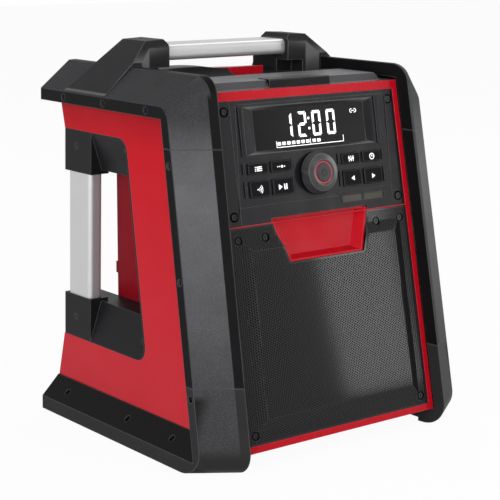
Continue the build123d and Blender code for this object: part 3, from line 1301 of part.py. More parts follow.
BOARD_TOP_V = FRAME_TOP - LEDGE_IN - 1
with BuildPart() as control_board:
    front_strip(-BOARD_HALF, BOARD_HALF, MEMBER_TOP + 1, BOARD_TOP_V, -BOARD_STAND, BOARD_T)
finish(control_board.part, "control_board")

with BuildPart() as lcd_module:
    front_strip(-MODULE_HALF, MODULE_HALF, WINDOW_LOW - 4, BOARD_TOP_V, -PLATE_T, BOARD_STAND - PLATE_T)
finish(lcd_module.part, "lcd_module")

key_u = (KEY_X[2] + KEY_X[3]) / 2
with BuildPart() as keypad:
    pad = (KEY_X[3] - KEY_X[2] + KEY_W, WINDOW_LOW - 6 - MEMBER_TOP - 12)
    pad_v = (WINDOW_LOW - 6 + MEMBER_TOP + 12) / 2
    front_box([(-key_u, pad_v), (key_u, pad_v)], *pad, -KEY_BACK - KEY_TRAVEL - GAP, PAD_T)
finish(keypad.part, "keypad")

for (u, v, height), key_name in zip(KEY_SPOTS, KEY_NAMES):
    with BuildPart() as key:
        front_box([(u, v)], KEY_W, height, KEY_PROUD, KEY_PROUD + KEY_BACK, 1.2)
        chamfer(key.faces().sort_by(Axis((0, 0, 0), LEAN_NORMAL))[-1].edges(), 0.5)
        front_box([(u, v)], KEY_W + 2, height + 2, -PLATE_T - GAP, KEY_BACK - PLATE_T - GAP)
    finish(key.part, f"{key_name}_key")

KNOB_PLANE = front_spot(*KNOB_SPOT)
BORE_R = RING_R + GAP
with BuildPart() as volume_knob:
    knob_half = (
        (BORE_R, -HUB_DOWN),
        (HUB_R, -HUB_DOWN),
        (HUB_R, KNOB_STAND),
        (KNOB_R - KNOB_SKIRT, KNOB_STAND),
        (KNOB_R, KNOB_STAND + KNOB_SKIRT),
        (KNOB_BROW_R, KNOB_BROW),
        (KNOB_FACE_R, KNOB_TOP),
        (BORE_R, KNOB_TOP - 0.5),
    )
    turned(KNOB_PLANE, knob_half)
    with BuildSketch(KNOB_PLANE.offset(KNOB_STAND)) as flutes:
        with PolarLocations(KNOB_R + FLUTE_R - FLUTE_DEEP, FLUTES, start_angle=180):
            Circle(FLUTE_R)
    extrude(flutes.sketch, amount=KNOB_TOP, mode=Mode.SUBTRACT)
finish(volume_knob.part, "volume_knob")

with BuildPart() as encoder:
    front_box([KNOB_SPOT], ENCODER_W, ENCODER_W, -PLATE_T, BOARD_STAND - PLATE_T)
    disc(KNOB_PLANE, HUB_R + SLIP, -BOARD_STAND, Mode.SUBTRACT)
finish(encoder.part, "encoder")

with BuildPart() as light_ring:
    disc(KNOB_PLANE.offset(-BOARD_STAND), RING_R, BOARD_STAND + KNOB_TOP - 0.8)
    disc(KNOB_PLANE.offset(-BOARD_STAND), POWER_R + GAP, BOARD_STAND + KNOB_TOP, Mode.SUBTRACT)
finish(light_ring.part, "light_ring")

with BuildPart() as power_button:
    disc(KNOB_PLANE.offset(-HUB_DOWN + POWER_TRAVEL), POWER_R, HUB_DOWN - POWER_TRAVEL + KNOB_TOP)
    fillet(power_button.edges().group_by(Axis((0, 0, 0), LEAN_NORMAL))[-1], 0.8)
finish(power_button.part, "power_button")

# ------------------------------------------------------------------ electronics in the foot of the body
FLOOR_IN = BODY_Z + WALL
BOARD_REAR = BOARD_FRONT + BOARD_D
with BuildPart() as power_supply:
    supply_plan = (SUPPLY_LEFT, SUPPLY_LEFT + SUPPLY_W, BOARD_FRONT, BOARD_FRONT + SUPPLY_D)
    block(*supply_plan, FLOOR_IN, FLOOR_IN + SUPPLY_H)
    chamfer(power_supply.edges().filter_by(Axis.Z), SUPPLY_EDGE)
finish(power_supply.part, "power_supply")

with BuildPart() as amplifier_board:
    board_low = FLOOR_IN + BOARD_FOOT - 1
    block(BOARD_LEFT, BOARD_LEFT + BOARD_W, BOARD_FRONT, BOARD_REAR, board_low, board_low + BOARD_T)
    sink_plan = (BOARD_FRONT + SINK_IN, BOARD_REAR - SINK_IN)
    sink_right = BOARD_LEFT + SINK_EDGE + SINK_FINS * FIN_STEP
    sink_foot = board_low + BOARD_T + SINK_FOOT
    block(BOARD_LEFT + SINK_EDGE, sink_right, *sink_plan, board_low, sink_foot)
    for index in range(SINK_FINS):
        fin = BOARD_LEFT + SINK_EDGE + index * FIN_STEP
        block(fin, fin + FIN_T, *sink_plan, sink_foot, sink_foot + FIN_H)
finish(amplifier_board.part, "amplifier_board")
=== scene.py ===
"""Looks of the jobsite radio: the finish of every moulding, bar and screw, the
perforated skin of the grille, the marks on the keys and the lit display.

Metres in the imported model's frame: +Z up, the front faces -Y, left is -X. Sizes of
small things are written in millimetres and turned into metres with MM. On the
leaning front a place is (u, v, w): across, up along the face, and out of it.
"""

import json
from math import cos, radians, sin

import bpy
import numpy as np
from mathutils import Matrix, Vector


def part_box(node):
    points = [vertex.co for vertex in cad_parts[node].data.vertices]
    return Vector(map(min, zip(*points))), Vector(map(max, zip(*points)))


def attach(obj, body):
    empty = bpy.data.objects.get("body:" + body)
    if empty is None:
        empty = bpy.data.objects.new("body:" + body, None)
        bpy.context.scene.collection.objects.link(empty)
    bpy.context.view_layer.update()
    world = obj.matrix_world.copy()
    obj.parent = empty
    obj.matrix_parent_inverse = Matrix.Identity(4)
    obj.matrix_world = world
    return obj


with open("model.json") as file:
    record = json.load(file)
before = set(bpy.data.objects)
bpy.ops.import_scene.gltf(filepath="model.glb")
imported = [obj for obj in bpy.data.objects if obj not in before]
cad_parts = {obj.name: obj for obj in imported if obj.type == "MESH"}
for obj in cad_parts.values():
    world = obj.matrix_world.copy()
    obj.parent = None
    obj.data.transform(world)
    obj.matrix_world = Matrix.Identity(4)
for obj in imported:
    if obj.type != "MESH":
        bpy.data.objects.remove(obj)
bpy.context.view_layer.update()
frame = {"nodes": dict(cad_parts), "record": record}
NODES = frame["nodes"]
MM = 0.001

# ------------------------------------------------------------------ driving sizes, millimetres
LEAN = radians(10.45)  # the front face leans back
FRONT_FOOT_Y = -143.3  # where it would meet the floor
FOOT_HALF = 165.0  # half width of the cage at the floor
SIDE_TAPER = 0.0195  # the cage narrows by this much per millimetre of height
RIDGE_FOOT_X = 133.7  # ridge between the leg's textured chamfer and its smooth nose
RIDGE_RAIL_X = 124.3  # the same on the rail
FRAME_FOOT_HALF = 117.1  # half width of the bezel's opening, carried down to the floor
FRAME_LOW = 25.1  # lower edge of that opening, up the face
PANEL_LOW = 229.6  # seam between grille and control panel
PANEL_STEP = 234.6  # the same over the dish
GRILLE_MARGIN = 12.0  # flat border round the grille's raised middle
GRILLE_SLOPE = 11.0  # width of the slope round it
GRILLE_STAND = 4.5
DISH_LOW = 191.0
DISH_LOW_HALF = 46.5
DISH_TOP_HALF = 60.8
KNOB_V = 272.0  # the knob's axis, up the face
KNOB_TOP = 12.0  # the power button in the knob stands this far out of the face
RAIL_START = (345.0, 352.0)  # heights where the rail's ridge takes over from the leg's
TOE_TOP = (18.0, 34.0)  # heights where the leg's texture takes over from the smooth toe
TOE_REAR = (-128.0, -118.0)  # the same from front to rear
FOOT_TOP = (72.0, 80.0)  # heights where the leg takes over from the darker foot
FLANK_START = (17.9, 18.3)  # radii where the knob's ridged flank takes over from its face


# ------------------------------------------------------------------ shader wiring
class Wires:
    """Places and joins the nodes of one shader tree."""

    def __init__(self, tree):
        self.tree = tree

    def put(self, kind, inputs=None, **settings):
        """Add a node, set its properties, and feed its inputs by name or number."""
        node = self.tree.nodes.new(kind)
        for key, value in settings.items():
            setattr(node, key, value)
        for key, value in (inputs or {}).items():
            self.feed(node.inputs[key], value)
        return node

    def feed(self, socket, value):
        """Link another node's output to a socket, or set the socket's own value."""
        if isinstance(value, bpy.types.NodeSocket):
            self.tree.links.new(value, socket)
        else:
            socket.default_value = value

    def maths(self, operation, first, second=0.0, clamp=False):
        """One Math node's result."""
        node = self.put("ShaderNodeMath", {0: first, 1: second}, operation=operation)
        node.use_clamp = clamp
        return node.outputs[0]

    def mix(self, share, low, high, blend="MIX"):
        """Colour that goes from low to high with share."""
        node = self.put("ShaderNodeMix", data_type="RGBA", blend_type=blend)
        self.feed(node.inputs[0], share)
        self.feed(node.inputs[6], low)
        self.feed(node.inputs[7], high)
        return node.outputs[2]

    def step(self, value, start, end):
        """0 below start, 1 above end, and a smooth rise between them."""
        sockets = {"Value": value, "From Min": start, "From Max": end}
        node = self.put("ShaderNodeMapRange", sockets, interpolation_type="SMOOTHSTEP")
        return node.outputs["Result"]

    def rise(self, value, span):
        """Smooth rise from 0 to 1 over a span (start, end) of millimetres."""
        return self.step(value, span[0] * MM, span[1] * MM)

    def noise(self, where, scale, detail=2.0, stretch=None):
        """Soft noise of about 1 / scale metres, stretched along the axes if asked."""
        if stretch:
            where = self.put("ShaderNodeMapping", {"Vector": where, "Scale": stretch}).outputs[0]
        sockets = {"Vector": where, "Scale": scale, "Detail": detail}
        return self.put("ShaderNodeTexNoise", sockets).outputs["Fac"]


def new_group(name, inputs, outputs):
    """Empty shader group, its wires and its two end nodes."""
    tree = bpy.data.node_groups.new(name, "ShaderNodeTree")
    for label, kind, value in inputs:
        socket = tree.interface.new_socket(label, in_out="INPUT", socket_type=kind)
        socket.default_value = value
    for label, kind in outputs:
        tree.interface.new_socket(label, in_out="OUTPUT", socket_type=kind)
    wires = Wires(tree)
    return tree, wires, wires.put("NodeGroupInput"), wires.put("NodeGroupOutput")


def grain_group():
    """Pebbled grain of a mould: rounded cells over fine noise, and a slow mottle."""
    inputs = [("Scale", "NodeSocketFloat", 1000.0)]
    outputs = [(label, "NodeSocketFloat") for label in ("Height", "Speck", "Mottle")]
    tree, wires, given, result = new_group("mould_grain", inputs, outputs)
    place = wires.put("ShaderNodeTexCoord").outputs["Object"]
    sockets = {"Vector": place, "Scale": given.outputs["Scale"]}
    cells = wires.put("ShaderNodeTexVoronoi", sockets, feature="SMOOTH_F1").outputs["Distance"]
    fine = wires.noise(place, given.outputs["Scale"], 3.0)
    wires.feed(result.inputs["Height"], wires.maths("SUBTRACT", fine, cells))
    wires.feed(result.inputs["Speck"], wires.step(fine, 0.42, 0.72))
    wires.feed(result.inputs["Mottle"], wires.noise(place, 38.0, 4.0))
    return tree


def edge_group():
    """Mask of the edges, where the materials paint a highlight, and the normal that rounds them
    off. The mask grows with one minus the cosine of the angle between the rounded normal and
    the face's own."""
    inputs = [("Width", "NodeSocketFloat", 0.001)]
    outputs = [("Normal", "NodeSocketVector"), ("Edge", "NodeSocketFloat")]
    tree, wires, given, result = new_group("edge_mask_for_highlights", inputs, outputs)
    sockets = {"Radius": given.outputs["Width"]}
    rounded = wires.put("ShaderNodeBevel", sockets, samples=6).outputs["Normal"]
    flat = wires.put("ShaderNodeNewGeometry").outputs["True Normal"]
    product = wires.put("ShaderNodeVectorMath", {0: rounded, 1: flat}, operation="DOT_PRODUCT")
    bend = wires.maths("SUBTRACT", 1.0, product.outputs["Value"])
    wires.feed(result.inputs["Normal"], rounded)
    wires.feed(result.inputs["Edge"], wires.step(bend, 0.004, 0.07))
    return tree


GRAIN = grain_group()
EDGE = edge_group()


def put_grain(wires, scale):
    """Outputs of the shared grain, at one material's scale."""
    return wires.put("ShaderNodeGroup", {"Scale": scale}, node_tree=GRAIN).outputs


def put_edge(wires, width):
    """Outputs of the shared edge mask for painted highlights, rounded by a width in millimetres."""
    return wires.put("ShaderNodeGroup", {"Width": width * MM}, node_tree=EDGE).outputs


def emboss(wires, shader, height, depth, normal):
    """Relief of a depth in millimetres on top of a normal, given to the shader."""
    sockets = {"Height": height, "Distance": depth * MM, "Normal": normal}
    bump = wires.put("ShaderNodeBump", sockets)
    wires.feed(shader.inputs["Normal"], bump.outputs["Normal"])


def rgb(red, green, blue):
    """Linear colour of an 8-bit sRGB one."""
    share = np.array([red, green, blue]) / 255.0
    linear = np.where(share <= 0.04045, share / 12.92, ((share + 0.055) / 1.055) ** 2.4)
    return (*[float(c) for c in linear], 1.0)


def grey(level):
    """Linear grey of an 8-bit sRGB one."""
    return rgb(level, level, min(255, level + 1))


def new_material(name):
    """Material with an empty tree but for its Principled shader."""
    material = bpy.data.materials.new(name)
    material.use_nodes = True
    tree = material.node_tree
    return material, Wires(tree), tree.nodes["Principled BSDF"]


def shade(colour, factor):
    """A colour made darker or lighter."""
    return (*[min(1.0, c * factor) for c in colour[:3]], 1.0)


def moulded(
    name, colour, rough, grain=1400.0, depth=0.03, mottle=0.10, edge=0.7, edge_highlight=70, **sockets
):
    """Moulded plastic or rubber: grain, slow mottling, and rounded edges with a painted highlight.
    depth is the grain's height in millimetres, edge the width of the rounding, and the argument
    after edge the colour of the painted highlight on the edges, or its 8-bit grey. sockets are
    set on the shader as they are."""
    material, wires, shader = new_material(name)
    grains, edges = put_grain(wires, grain), put_edge(wires, edge)
    tone = wires.mix(grains["Mottle"], shade(colour, 1 - mottle), shade(colour, 1 + mottle))
    specks = wires.maths("MULTIPLY", grains["Speck"], 0.3)
    tone = wires.mix(specks, tone, shade(colour, 1.5))
    # painted highlight along the rounded edges
    highlight_tone = edge_highlight if isinstance(edge_highlight, tuple) else grey(edge_highlight)
    tone = wires.mix(wires.maths("MULTIPLY", edges["Edge"], 0.8), tone, highlight_tone)
    wires.feed(shader.inputs["Base Color"], tone)
    gloss = wires.maths("MULTIPLY", wires.maths("SUBTRACT", grains["Mottle"], 0.5), 0.25)
    wires.feed(shader.inputs["Roughness"], wires.maths("ADD", gloss, rough, clamp=True))
    emboss(wires, shader, grains["Height"], depth, edges["Normal"])
    for label, value in sockets.items():
        shader.inputs[label.replace("_", " ")].default_value = value
    return material


def ramp(wires, share, stops):
    """Colour that follows a share from 0 to 1 through stops of (place, 8-bit colour)."""
    node = wires.put("ShaderNodeValToRGB", {"Fac": share})
    row = node.color_ramp.elements
    while len(row) < len(stops):
        row.new(0.5)
    for element, (place, colour) in zip(row, stops):
        element.position = place
        element.color = rgb(*colour)
    return node.outputs["Color"]


RAMP_TOP = 0.4  # height in metres at which the tone ramps end
# texture's 8-bit grey by height in millimetres: painted light and shade, palest half way up
CAGE_PAINTED_LIGHT = [(20, 52), (75, 58), (110, 68), (180, 84), (262, 94), (300, 82), (328, 52), (365, 50)]
FOOT_PAINTED_LIGHT = [(20, 54), (90, 58)]
# painted shade under the cap and a painted reflection of the floor: the red deepens towards the top
# and pales towards the floor
SIDE_REDS_PAINTED_LIGHT = [  # share of the ramp's height, and 8-bit colour
    (0.05, (186, 42, 52)), (0.45, (186, 30, 42)), (0.72, (184, 16, 30)), (0.86, (140, 6, 18)),
]
KNOB_RIDGES = 110.0  # round the whole flank
THUMB_RESTS = 3.0


def bumper_rubber(name, plain, light_by_height):
    """Rubber of the cage: coarse texture on the chamfers, smooth darker rims, nose and toe. The
    regions follow from the distance to the cage's outer face, its ridge and its sole. plain is the
    smooth rubber's 8-bit grey. The last argument gives the texture's grey by height in
    millimetres: painted light and shade, palest half way up."""
    material, wires, shader = new_material(name)
    place = wires.put("ShaderNodeTexCoord").outputs["Object"]
    parts = wires.put("ShaderNodeSeparateXYZ", {"Vector": place}).outputs
    out = wires.maths("ABSOLUTE", parts["X"])
    lean = wires.maths("ADD", out, wires.maths("MULTIPLY", parts["Z"], SIDE_TAPER))
    rim = wires.rise(lean, (FOOT_HALF - 0.5, FOOT_HALF - 0.2))
    on_rail = wires.rise(parts["Z"], RAIL_START)
    leg_in = wires.rise(lean, (RIDGE_FOOT_X - 0.3, RIDGE_FOOT_X + 0.1))
    rail_in = wires.rise(out, (RIDGE_RAIL_X - 0.3, RIDGE_RAIL_X + 0.1))
    outside = wires.put("ShaderNodeMix", {0: on_rail, 2: leg_in, 3: rail_in}).outputs[0]
    behind = wires.rise(parts["Y"], TOE_REAR)
    off_toe = wires.maths("MAXIMUM", wires.rise(parts["Z"], TOE_TOP), behind)
    coarse = wires.maths("MULTIPLY", off_toe, outside)
    coarse = wires.maths("MULTIPLY", coarse, wires.maths("SUBTRACT", 1.0, rim, clamp=True))

    grains, edges = put_grain(wires, 1500.0), put_edge(wires, 1.3)
    # painted light and shade: the texture's grey follows the height
    height = wires.maths("MULTIPLY", parts["Z"], 1 / RAMP_TOP)
    stops = [(z * MM / RAMP_TOP, (tone, tone, tone + 2)) for z, tone in light_by_height]
    middle = ramp(wires, height, stops)
    light = wires.mix(1.0, middle, grey(150), "SCREEN")
    textured = wires.mix(wires.maths("MULTIPLY", grains["Speck"], 0.16), middle, light)
    shadow = wires.maths("MULTIPLY", grains["Mottle"], 0.35)
    textured = wires.mix(shadow, textured, grey(18))
    foot = wires.maths("SUBTRACT", 1.0, wires.rise(parts["Z"], FOOT_TOP))
    textured = wires.mix(wires.maths("MULTIPLY", foot, behind), textured, grey(25))
    smooth = wires.mix(grains["Mottle"], grey(plain - 3), grey(plain + 5))
    tone = wires.mix(coarse, smooth, textured)
    # painted highlight along the edges
    tone = wires.mix(wires.maths("MULTIPLY", edges["Edge"], 0.5), tone, grey(112))
    wires.feed(shader.inputs["Base Color"], tone)
    rough = wires.maths("ADD", wires.maths("MULTIPLY", coarse, 0.15), 0.46)
    wires.feed(shader.inputs["Roughness"], rough)
    raised = wires.maths("MULTIPLY", wires.maths("ADD", grains["Height"], 2.5), coarse)
    emboss(wires, shader, raised, 0.07, edges["Normal"])
    shader.inputs["Specular IOR Level"].default_value = 0.04
    return material


def panel_red(name):
    """Red side mouldings: satin, with painted shade that deepens the red under the cap, a painted
    reflection of the floor that makes it paler towards the floor, and painted highlights on the
    edges.
    """
    material, wires, shader = new_material(name)
    place = wires.put("ShaderNodeTexCoord").outputs["Object"]
    parts = wires.put("ShaderNodeSeparateXYZ", {"Vector": place}).outputs
    grains, edges = put_grain(wires, 2100.0), put_edge(wires, 0.9)
    # painted shade and painted reflection of the floor, by height
    height = wires.maths("MULTIPLY", parts["Z"], 1 / RAMP_TOP)
    tone = ramp(wires, height, SIDE_REDS_PAINTED_LIGHT)
    tone = wires.mix(wires.maths("MULTIPLY", grains["Mottle"], 0.12), tone, rgb(120, 4, 14))
    # painted highlight along the edges
    tone = wires.mix(wires.maths("MULTIPLY", edges["Edge"], 0.5), tone, rgb(224, 84, 92))
    wires.feed(shader.inputs["Base Color"], tone)
    rough = wires.maths("ADD", wires.maths("MULTIPLY", grains["Mottle"], 0.2), 0.3)
    wires.feed(shader.inputs["Roughness"], rough)
    emboss(wires, shader, grains["Height"], 0.006, edges["Normal"])
    shader.inputs["Specular IOR Level"].default_value = 0.07
    return material


def drawn_aluminium(name, along):
    """Anodised extrusion: hair lines along the bar, a slow change of tone, rounded edges with a
    painted highlight. along is the axis of the bar, 0 for X and 2 for Z."""
    material, wires, shader = new_material(name)
    place = wires.put("ShaderNodeTexCoord").outputs["Object"]
    stretch = [1.0, 1.0, 1.0]
    stretch[along] = 0.012
    lines = wires.noise(place, 2600.0, 3.0, stretch)
    slow = wires.noise(place, 24.0, 2.0)
    edges = put_edge(wires, 0.8)
    tone = wires.mix(lines, rgb(178, 178, 179), rgb(200, 200, 201))
    # painted highlight along the edges
    tone = wires.mix(wires.maths("MULTIPLY", edges["Edge"], 0.6), tone, rgb(236, 236, 236))
    wires.feed(shader.inputs["Base Color"], tone)
    fine_rough = wires.maths("MULTIPLY", lines, 0.12)
    rough = wires.maths("ADD", fine_rough, wires.maths("MULTIPLY", slow, 0.08))
    wires.feed(shader.inputs["Roughness"], wires.maths("ADD", rough, 0.30))
    emboss(wires, shader, lines, 0.01, edges["Normal"])
    shader.inputs["Metallic"].default_value = 0.45
    shader.inputs["Specular IOR Level"].default_value = 0.2
    return material


def lit(name, colour, strength):
    """Lit segments of the display, and the paint of the marks on the keys, which glows too:
    painted light.
    """
    material, wires, shader = new_material(name)
    place = wires.put("ShaderNodeTexCoord").outputs["Object"]
    glow = wires.mix(wires.noise(place, 900.0, 1.0), shade(colour, 0.9), colour)
    wires.feed(shader.inputs["Base Color"], glow)
    wires.feed(shader.inputs["Emission Color"], glow)
    shader.inputs["Emission Strength"].default_value = strength
    shader.inputs["Roughness"].default_value = 0.5
    return material


def knob_satin(name):
    """Satin of the knob: fine ridges round its flank, but for the three smooth thumb rests, and a
    turned face. The crests of the ridges and the edges get a painted highlight. Radius and angle
    are taken round the knob's axis in the plane of the front, where the way up the face is y times
    the sine plus z times the cosine of the lean."""
    material, wires, shader = new_material(name)
    place = wires.put("ShaderNodeTexCoord").outputs["Object"]
    parts = wires.put("ShaderNodeSeparateXYZ", {"Vector": place}).outputs
    back = wires.maths("SUBTRACT", parts["Y"], FRONT_FOOT_Y * MM)
    deep = wires.maths("MULTIPLY", back, sin(LEAN))
    tall = wires.maths("MULTIPLY", parts["Z"], cos(LEAN))
    up = wires.maths("SUBTRACT", wires.maths("ADD", deep, tall), KNOB_V * MM)
    across = wires.maths("MULTIPLY", parts["X"], parts["X"])
    radius = wires.maths("SQRT", wires.maths("ADD", wires.maths("MULTIPLY", up, up), across))
    angle = wires.maths("ARCTAN2", up, parts["X"])
    ridges = wires.maths("SINE", wires.maths("MULTIPLY", angle, KNOB_RIDGES))
    thirds = wires.maths("COSINE", wires.maths("MULTIPLY", angle, THUMB_RESTS))
    rests = wires.step(wires.maths("MULTIPLY", thirds, -1.0), 0.80, 0.86)
    flank = wires.rise(radius, FLANK_START)
    ridged = wires.maths("MULTIPLY", flank, wires.maths("SUBTRACT", 1.0, rests))
    rings = wires.maths("SINE", wires.maths("MULTIPLY", radius, 9000.0))
    turned = wires.maths("MULTIPLY", rings, 0.12)

    grains, edges = put_grain(wires, 2400.0), put_edge(wires, 0.7)
    tone = wires.mix(grains["Mottle"], grey(30), grey(40))
    # painted highlight on the crests of the ridges, and then on the edges
    crest_highlight = wires.maths("MULTIPLY", ridged, wires.step(ridges, -0.6, 0.9))
    tone = wires.mix(crest_highlight, tone, grey(58))
    tone = wires.mix(wires.maths("MULTIPLY", edges["Edge"], 0.7), tone, grey(126))
    wires.feed(shader.inputs["Base Color"], tone)
    rough = wires.maths("ADD", wires.maths("MULTIPLY", grains["Mottle"], 0.12), 0.26)
    wires.feed(shader.inputs["Roughness"], rough)
    height = wires.maths("ADD", wires.maths("MULTIPLY", ridges, ridged), turned)
    emboss(wires, shader, height, 0.12, edges["Normal"])
    shader.inputs["Specular IOR Level"].default_value = 0.5
    return material


# rubber
RUBBER = bumper_rubber("bumper_rubber", 16, CAGE_PAINTED_LIGHT)
FOOT_RUBBER = bumper_rubber("foot_rubber", 40, FOOT_PAINTED_LIGHT)
SILICONE = moulded("grey_silicone", rgb(92, 92, 92), 0.6, depth=0.01, edge=0.4, edge_highlight=110)

# black and grey mouldings
BRACKET = moulded(
    "bracket_moulding", rgb(32, 32, 34), 0.50, grain=1200.0, depth=0.05, mottle=0.16, edge=1.6,
    edge_highlight=104, Specular_IOR_Level=0.06,
)
BLACK = moulded(
    "black_moulding", rgb(26, 26, 28), 0.42, edge=1.0, edge_highlight=80, Specular_IOR_Level=0.07
)
DECK = moulded(
    "deck_moulding", rgb(42, 42, 47), 0.40, edge=0.9, edge_highlight=104, Specular_IOR_Level=0.42
)
LATCH = moulded(
    "latch_moulding", rgb(15, 15, 16), 0.34, edge=0.9, edge_highlight=104, Specular_IOR_Level=0.08
)
PANEL = moulded(
    "panel_moulding", rgb(20, 20, 23), 0.27, grain=1900.0, depth=0.018, edge=0.8, edge_highlight=96,
    Specular_IOR_Level=0.13,
)
KEYTOP = moulded(
    "key_rubber", rgb(15, 15, 17), 0.42, grain=2200.0, depth=0.012, edge=1.2, edge_highlight=84,
    Specular_IOR_Level=0.04,
)
BUTTON = moulded(
    "button_satin", rgb(40, 40, 42), 0.36, grain=2400.0, depth=0.008, edge=0.7, edge_highlight=90,
    Specular_IOR_Level=0.25,
)
KNOB = knob_satin("knob_satin")

# red mouldings
RED = moulded(
    "red_moulding", rgb(174, 13, 28), 0.26, grain=2100.0, depth=0.005, mottle=0.03, edge=1.0,
    edge_highlight=rgb(214, 62, 72), Specular_IOR_Level=0.08,
)
# darker copy of the red for the housing seen through the side opening: painted shade
SHADED_RED = moulded(
    "housing_red_painted_shade", rgb(122, 10, 24), 0.4, grain=2100.0, depth=0.006, mottle=0.05, edge=0.9,
    edge_highlight=rgb(170, 50, 62), Specular_IOR_Level=0.08,
)
SIDE_RED = panel_red("side_red")
RING = moulded(
    "red_light_guide", rgb(196, 10, 34), 0.25, depth=0.004, edge=0.3, edge_highlight=rgb(226, 60, 84),
    Specular_IOR_Level=0.3,
)

# metal
BAR_UP = drawn_aluminium("side_bar_aluminium", 2)
BAR_ACROSS = drawn_aluminium("handle_aluminium", 0)
MESH = moulded(
    "grille_paint", rgb(30, 30, 32), 0.38, grain=2600.0, depth=0.0, edge=0.06, edge_highlight=60,
    Specular_IOR_Level=0.06, Coat_Weight=0.36, Coat_Roughness=0.07,
)
# near black floor of the holes and rings round the screws, with no gloss: painted shade of the
# depth behind them
HOLE_SHADE = moulded("hole_painted_shade", rgb(3, 3, 3), 0.8, edge=0.2, edge_highlight=4, Specular_IOR_Level=0.0)
SCREW = moulded(
    "black_steel", rgb(8, 8, 9), 0.16, grain=3000.0, depth=0.002, edge=0.4, edge_highlight=84,
    Specular_IOR_Level=0.22,
)
STEEL = moulded(
    "plain_steel", rgb(150, 150, 152), 0.32, grain=2600.0, depth=0.006, edge=0.3, edge_highlight=180,
    Metallic=1.0,
)

# windows, boards and the parts of the drivers
WINDOW = moulded(
    "display_window", rgb(20, 20, 21), 0.20, grain=900.0, depth=0.002, edge=0.2, edge_highlight=26,
    Specular_IOR_Level=0.05,
)
LAMP_WINDOW = moulded(
    "lamp_window", rgb(46, 43, 34), 0.16, grain=420.0, depth=0.02, mottle=0.7, edge=0.6,
    edge_highlight=rgb(112, 62, 54), Specular_IOR_Level=0.12,
)
BOARD = moulded(
    "circuit_board", rgb(30, 88, 48), 0.45, grain=600.0, depth=0.03, edge=0.3,
    edge_highlight=rgb(60, 120, 76),
)
PAPER = moulded("cone_paper", rgb(48, 48, 48), 0.8, grain=700.0, depth=0.05, edge=0.4, edge_highlight=60)
FERRITE = moulded(
    "ferrite_ring", rgb(66, 66, 66), 0.55, grain=900.0, depth=0.02, edge=0.5, edge_highlight=90
)

# print that glows, which is painted light, and the lit display
GLOWING_PRINT = lit("glowing_white_print", rgb(246, 246, 246), 0.9)
DIGITS = lit("lit_segments", rgb(250, 250, 250), 0.95)

FINISH = {
    "rubber_black": RUBBER,
    "plastic_black": BLACK,
    "plastic_dark": PANEL,
    "plastic_red": RED,
    "aluminium_bar": BAR_UP,
    "grille_mesh": MESH,
    "steel_black": SCREW,
    "steel_plain": STEEL,
    "window_clear": WINDOW,
    "window_grey": LAMP_WINDOW,
    "ring_red": RING,
    "board_green": BOARD,
    "silicone_grey": SILICONE,
    "paper_cone": PAPER,
    "ferrite": FERRITE,
}

KEY_NAMES = "mode preset equaliser clock pairing play previous next".split()
OWN_FINISH = {
    "handle_bar": BAR_ACROSS,
    "foot_bumper": FOOT_RUBBER,
    "side_panel": SIDE_RED,
    "handle_bracket": BRACKET,
    "volume_knob": KNOB,
    "power_button": BUTTON,
    "top_deck": DECK,
    "lid": DECK,
    "lid_latch": LATCH,
    "main_housing": SHADED_RED,
    **{f"{key}_key": KEYTOP for key in KEY_NAMES},
}


# ------------------------------------------------------------------ smooth faces on the mouldings
SHARP = radians(32)  # edges that bend more than this stay sharp


def smoothing_group():
    """Faces are shaded smooth, except across the sharp edges."""
    tree = bpy.data.node_groups.new("smooth_faces", "GeometryNodeTree")
    tree.interface.new_socket("Geometry", in_out="INPUT", socket_type="NodeSocketGeometry")
    tree.interface.new_socket("Geometry", in_out="OUTPUT", socket_type="NodeSocketGeometry")
    wires = Wires(tree)
    given = wires.put("NodeGroupInput")
    result = wires.put("NodeGroupOutput")
    angle = wires.put("GeometryNodeInputMeshEdgeAngle").outputs["Unsigned Angle"]
    gentle = wires.put("FunctionNodeCompare", operation="LESS_EQUAL")
    wires.feed(gentle.inputs["A"], angle)
    wires.feed(gentle.inputs["B"], SHARP)
    faces = wires.put("GeometryNodeSetShadeSmooth", domain="FACE")
    wires.feed(faces.inputs["Geometry"], given.outputs["Geometry"])
    edges = wires.put("GeometryNodeSetShadeSmooth", domain="EDGE")
    wires.feed(edges.inputs["Geometry"], faces.outputs["Geometry"])
    wires.feed(edges.inputs["Shade Smooth"], gentle.outputs["Result"])
    wires.feed(result.inputs["Geometry"], edges.outputs["Geometry"])
    return tree


SMOOTH = smoothing_group()


def soften(piece):
    """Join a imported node's loose triangles and shade them smooth."""
    weld = piece.modifiers.new("weld", "WELD")
    weld.merge_threshold = 0.002 * MM
    smooth = piece.modifiers.new("smooth", "NODES")
    smooth.node_group = SMOOTH


def dress_nodes():
    """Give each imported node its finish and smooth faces."""
    slots = {row["node"]: row["material_slot"] for row in frame["record"]["subparts"]}
    for name, piece in NODES.items():
        plain_name = name.removeprefix("left_").removeprefix("right_")
        finish = OWN_FINISH.get(plain_name, FINISH[slots[name]])
        for slot in piece.material_slots:
            slot.link = "OBJECT"
            slot.material = finish
        soften(piece)


# ------------------------------------------------------------------ meshes from arrays
def on_front(places):
    """Points in metres for rows of (u, v, w) in millimetres: x is u, y is the face's foot plus v
    times the sine minus w times the cosine of the lean, and z is v times the cosine plus w times
    the sine."""
    u, v, w = np.moveaxis(np.asarray(places, float), -1, 0)
    y = FRONT_FOOT_Y + v * sin(LEAN) - w * cos(LEAN)
    z = v * cos(LEAN) + w * sin(LEAN)
    return np.stack([u, y, z], -1) * MM


